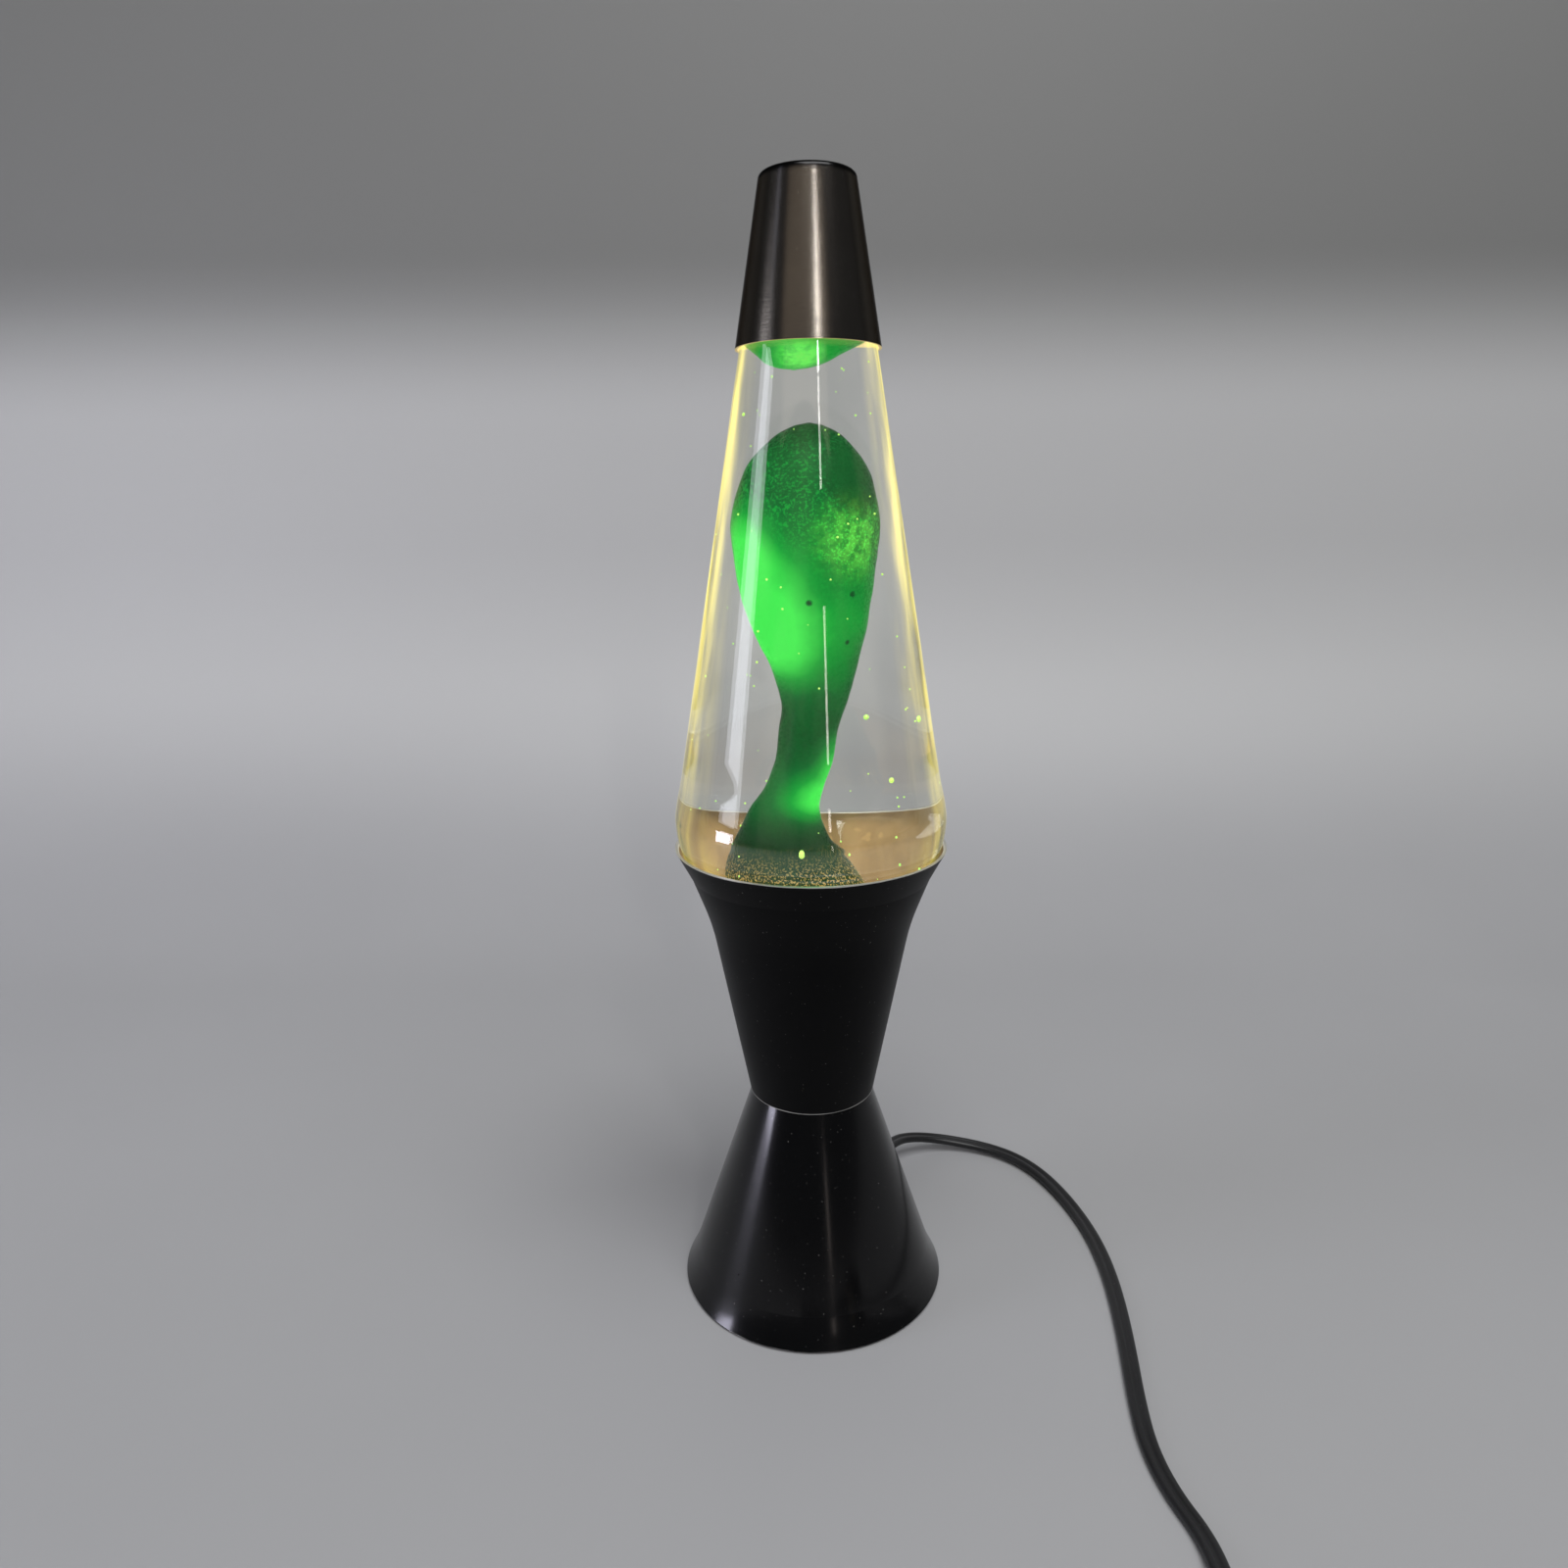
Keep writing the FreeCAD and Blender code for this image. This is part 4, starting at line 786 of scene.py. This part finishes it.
random.seed(11)
beads = [((14.5, -14, 209), 0.75), ((31, -14, 208), 0.95), ((22, -20, 190), 0.8),
         ((-3, -22, 168), 0.8), ((-18, -10, 300), 0.5), ((6, -15, 262), 0.35)]
while len(beads) < 90:
    high = random.uniform(146, 315)
    widest = 40 - (high - 175) * 0.158 if high > 175 else 34
    out = widest * random.uniform(0.5, 0.93)
    angle = random.uniform(math.pi * 0.95, math.pi * 2.05)
    size = random.uniform(0.14, 0.34)
    beads.append(((out * math.cos(angle), out * math.sin(angle), high), size))
bead_points, bead_faces = [], []
for place, size in beads:
    first = len(bead_points)
    for row in range(1, 8):
        for step in range(12):
            tilt, angle = math.pi * row / 8, 2 * math.pi * step / 12
            ray = Vector((math.sin(tilt) * math.cos(angle), math.sin(tilt) * math.sin(angle),
                          math.cos(tilt) * 1.1))
            bead_points.append(Vector(place) + ray * size)
    for row in range(6):
        for step in range(12):
            ahead = (step + 1) % 12
            bead_faces.append((first + row * 12 + step, first + (row + 1) * 12 + step,
                               first + (row + 1) * 12 + ahead, first + row * 12 + ahead))
    bead_faces.append(tuple(range(first, first + 12)))
    bead_faces.append(tuple(reversed(range(first + 72, first + 84))))
wax_beads = mesh_piece("wax_beads", bead_points, bead_faces, 60)
# The beads' glow is painted light.
bead_wax, start = new_finish("bead_wax")
bead_tone = start.grain(where_on(start), 60)
close_finish(start, Base_Color=bead_tone.mixed((0.10, 0.55, 0.08), (0.55, 0.60, 0.12)),
             Roughness=0.3, Emission_Color=bead_tone.mixed((0.08, 0.8, 0.1), (0.75, 0.8, 0.2)),
             Emission_Strength=0.8)
dress(wax_beads, bead_wax, "globe")

# ---------------------------------------------------------------- crown cap
# A fluted bottle crown, pressed from tinned steel, closes the globe out of sight under the cap.
# It is crimped over the bead of the neck, and a soft disc inside it seals the liquid in.

show(zinc_steel, "crown_cap")
liner_grey = moulded_plastic("liner_grey", (0.35, 0.35, 0.33), 0.5, 0.08)
show(liner_grey, "crown_liner")

# ---------------------------------------------------------------- cap
# Tall tapering cap of turned aluminium, anodised in a dark gunmetal. The lathe left fine rings
# all round it, so each light draws out into an upright streak. Its top and rounded top edge are
# painted dark as shade, and its inside near the foot has a painted warm glow of the bulb's light.

CAP_FOOT = Vector((22.3, 319.8))
CAP_TOP = Vector((14.4, 368.0))
CAP_EDGE = 1.44
CAP_EDGE_BEND = 1.695
cap_slope = (CAP_TOP - CAP_FOOT).normalized()
edge_low = CAP_TOP - cap_slope * CAP_EDGE
edge_top = CAP_TOP - Vector((CAP_EDGE, 0))
cap_side = along(CAP_FOOT, edge_low, 30)
cap_outer = [CAP_FOOT, *cap_side, *swept(edge_low, edge_top, CAP_EDGE_BEND, 10)[1:],
             Vector((6.0, CAP_TOP.y)), Vector((0, CAP_TOP.y))]
cap_inner = [Vector((0, 367.2)), Vector((13.2, 367.2)), Vector((13.6, 366.6)),
             Vector((21.5, 319.8))]
cap_shell = spun("cap_shell", cap_outer + cap_inner, closed=True, smooth_angle=50)
gunmetal, start = new_finish("gunmetal")
place = where_on(start)
height = place.split()[2]
turning = start.grain(where_on(start, (0.05, 0.05, 1)), 3800, detail=3)
mottle = start.grain(place, 1500, detail=4, roughness=0.75)
tarnish = start.grain(place, 55, detail=3)
scratch = start.grain(where_on(start, (3, 3, 0.25)), 700, detail=1).between(0.76, 0.79)
tone = tarnish.mixed((0.11, 0.100, 0.088), (0.17, 0.152, 0.132))
tone = (scratch * 0.6).mixed(tone, (0.45, 0.44, 0.42))
# The top and its rounded edge are painted dark, as shade.
painted_dark_top_edge = height.between(0.3652, 0.3668)
radial = where_on(start, (1, 1, 0))
normal = start.node("NewGeometry", output=1)
facing = start.node("VectorMath", {"operation": "DOT_PRODUCT"}, {0: radial, 1: normal}, 1)
# Painted warm glow of the bulb's light on the inside near the cap's foot.
under = (facing * -1).between(-0.004, 0.004) * (1 - height.between(0.3203, 0.328))
close_finish(
    start, Base_Color=painted_dark_top_edge.mixed(tone, (0.02, 0.02, 0.02)), Metallic=1.0,
    Specular_Tint=(0.22, 0.21, 0.20), Coat_Weight=0.15, Coat_Roughness=0.10,
    Roughness=mottle * 0.20 + 0.06 + turning * 0.06, Emission_Strength=1.0,
    Emission_Color=under.mixed((0, 0, 0), (0.95, 0.74, 0.30)),
    Normal=(turning * 0.5 + mottle * 0.5).bump(0.30, 0.00015))
dress(cap_shell, gunmetal, "cap")
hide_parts("cap")

# ---------------------------------------------------------------- underside
# A pressed fibre cover closes the cone from below, with slots for air and three rubber feet.
# Two insulated wires run from the strain relief to the holder's screws.

cover_black = moulded_plastic("cover_black", (0.014, 0.013, 0.012), 0.6, 0.3)
show(cover_black, "bottom_cover")
show(rubber_black, "rubber_feet")
wire_black = moulded_plastic("wire_black", (0.02, 0.02, 0.02), 0.4, 0.1)
wire_white = moulded_plastic("wire_white", (0.5, 0.5, 0.48), 0.4, 0.1)
show(wire_black, "live_wire")
show(wire_white, "neutral_wire")

# ---------------------------------------------------------------- table and light
# The lamp stands on a sweep of pale grey paper, with painted light on the lower part of its
# upright and painted shade towards its top and its near edge. A tall soft panel stands at its
# left, narrow strips a little to the right in front, and the room's light comes softly from
# above. The bulb's own light warms the base from inside, with painted glow there as well.


PAPER_REACH = 3000.0
PAPER_BEND = 250.0


def paper_sweep():
    """Grey paper that lies on the table and curves up behind the lamp."""
    points, faces = [], []
    line = [(-PAPER_REACH, 0.0), (PAPER_BEND, 0.0)]
    for step in range(1, 17):
        turn = math.pi / 2 * step / 16
        line.append((PAPER_BEND * (1 + math.sin(turn)), PAPER_BEND * (1 - math.cos(turn))))
    line.append((PAPER_BEND * 2, PAPER_REACH))
    for deep, high in line:
        points += [(-PAPER_REACH, deep, high), (PAPER_REACH, deep, high)]
    for row in range(len(line) - 1):
        faces.append((row * 2, row * 2 + 1, row * 2 + 3, row * 2 + 2))
    return mesh_piece("paper_sweep", points, faces, 80)


sweep = paper_sweep()
grey_paper, start = new_finish("grey_paper")
place = where_on(start)
_, away, height = place.split()
paper_cloud = start.grain(place, 3)
paper_tooth = start.grain(place, 900)
paper_tone_and_painted_shading = paper_cloud.mixed((0.37, 0.37, 0.38), (0.43, 0.43, 0.44))
# Painted light: the lower part of the upright is lighter.
paper_tone_and_painted_shading = height.between(0.02, 0.16).mixed(paper_tone_and_painted_shading, (0.56, 0.56, 0.56))
# Painted shade towards the top.
paper_tone_and_painted_shading = height.between(0.34, 0.46).mixed(paper_tone_and_painted_shading, (0.22, 0.22, 0.215))
# Painted shade towards the near edge.
paper_tone_and_painted_shading = away.between(-0.8, -0.35).mixed((0.10, 0.10, 0.10), paper_tone_and_painted_shading)
close_finish(start, Base_Color=paper_tone_and_painted_shading,
             Roughness=paper_tooth * 0.1 + 0.5, Normal=paper_tooth.bump(0.05, 0.0002))
sweep.data.materials.append(grey_paper)


def soft_panel(name, place, aim, wide, tall, watts, tone):
    """An area light that faces a point."""
    data = bpy.data.lights.new(name, "AREA")
    data.shape = "RECTANGLE"
    data.size = wide
    data.size_y = tall
    data.energy = watts
    data.color = tone
    panel = bpy.data.objects.new(name, data)
    bpy.context.collection.objects.link(panel)
    panel.location = place
    panel.rotation_euler = (Vector(aim) - Vector(place)).to_track_quat("-Z", "Y").to_euler()


soft_panel("left_panel", (-0.95, -0.28, 0.46), (0, 0, 0.3), 0.30, 0.5, 1.6, (0.88, 0.90, 1.0))
soft_panel("left_low", (-0.95, -0.24, 0.085), (0, 0, 0.07), 0.24, 0.10, 1.5, (0.84, 0.82, 1.0))
soft_panel("left_high", (-0.93, -0.34, 0.98), (0, 0, 0.3), 0.04, 0.3, 0.08, (0.70, 0.76, 1.0))
soft_panel("cap_strip", (0.27, -1.05, 0.90), (0, 0, 0.3), 0.028, 0.16, 0.9, (1.0, 0.98, 0.95))
soft_panel("cap_upper", (0.27, -1.05, 1.06), (0, 0, 0.3), 0.036, 0.16, 0.36, (0.96, 0.95, 1.0))
soft_panel("foot_strip", (0.30, -1.05, 0.07), (0, 0, 0.1), 0.026, 0.12, 0.04, (1.0, 0.86, 0.80))
soft_panel("top_strip", (0.27, -1.05, 0.73), (0, 0, 0.3), 0.026, 0.14, 0.12, (1.0, 0.98, 0.95))
soft_panel("low_strip", (0.27, -1.05, 0.40), (0, 0, 0.2), 0.026, 0.20, 0.10, (1.0, 0.93, 0.88))
soft_panel("room_side", (-0.15, -1.3, 1.15), (0, 0, 0.3), 2.0, 0.5, 1.3, (1.0, 0.86, 0.70))
soft_panel("room_light", (0.40, -0.8, 2.1), (0, 0.2, 0.1), 1.8, 1.2, 36.0, (0.98, 0.99, 1.0))
bulb_light = bpy.data.lights.new("bulb_light", "POINT")
bulb_light.energy = 0.12
bulb_light.color = (1.0, 0.70, 0.38)
bulb_light.shadow_soft_size = 0.008
bulb_glow = bpy.data.objects.new("bulb_glow", bulb_light)
bpy.context.collection.objects.link(bulb_glow)
bulb_glow.location = (0, 0, 0.1)
for node in ("bulb_envelope", "bulb_filament", "bulb_stem"):
    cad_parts[node].visible_shadow = False
room = bpy.data.worlds.new("room")
room.use_nodes = True
room_air = room.node_tree.nodes["Background"].inputs
room_air["Color"].default_value = (0.80, 0.82, 0.86, 1)
room_air["Strength"].default_value = 0.10
bpy.context.scene.world = room
bpy.context.scene.view_settings.view_transform = "Standard"
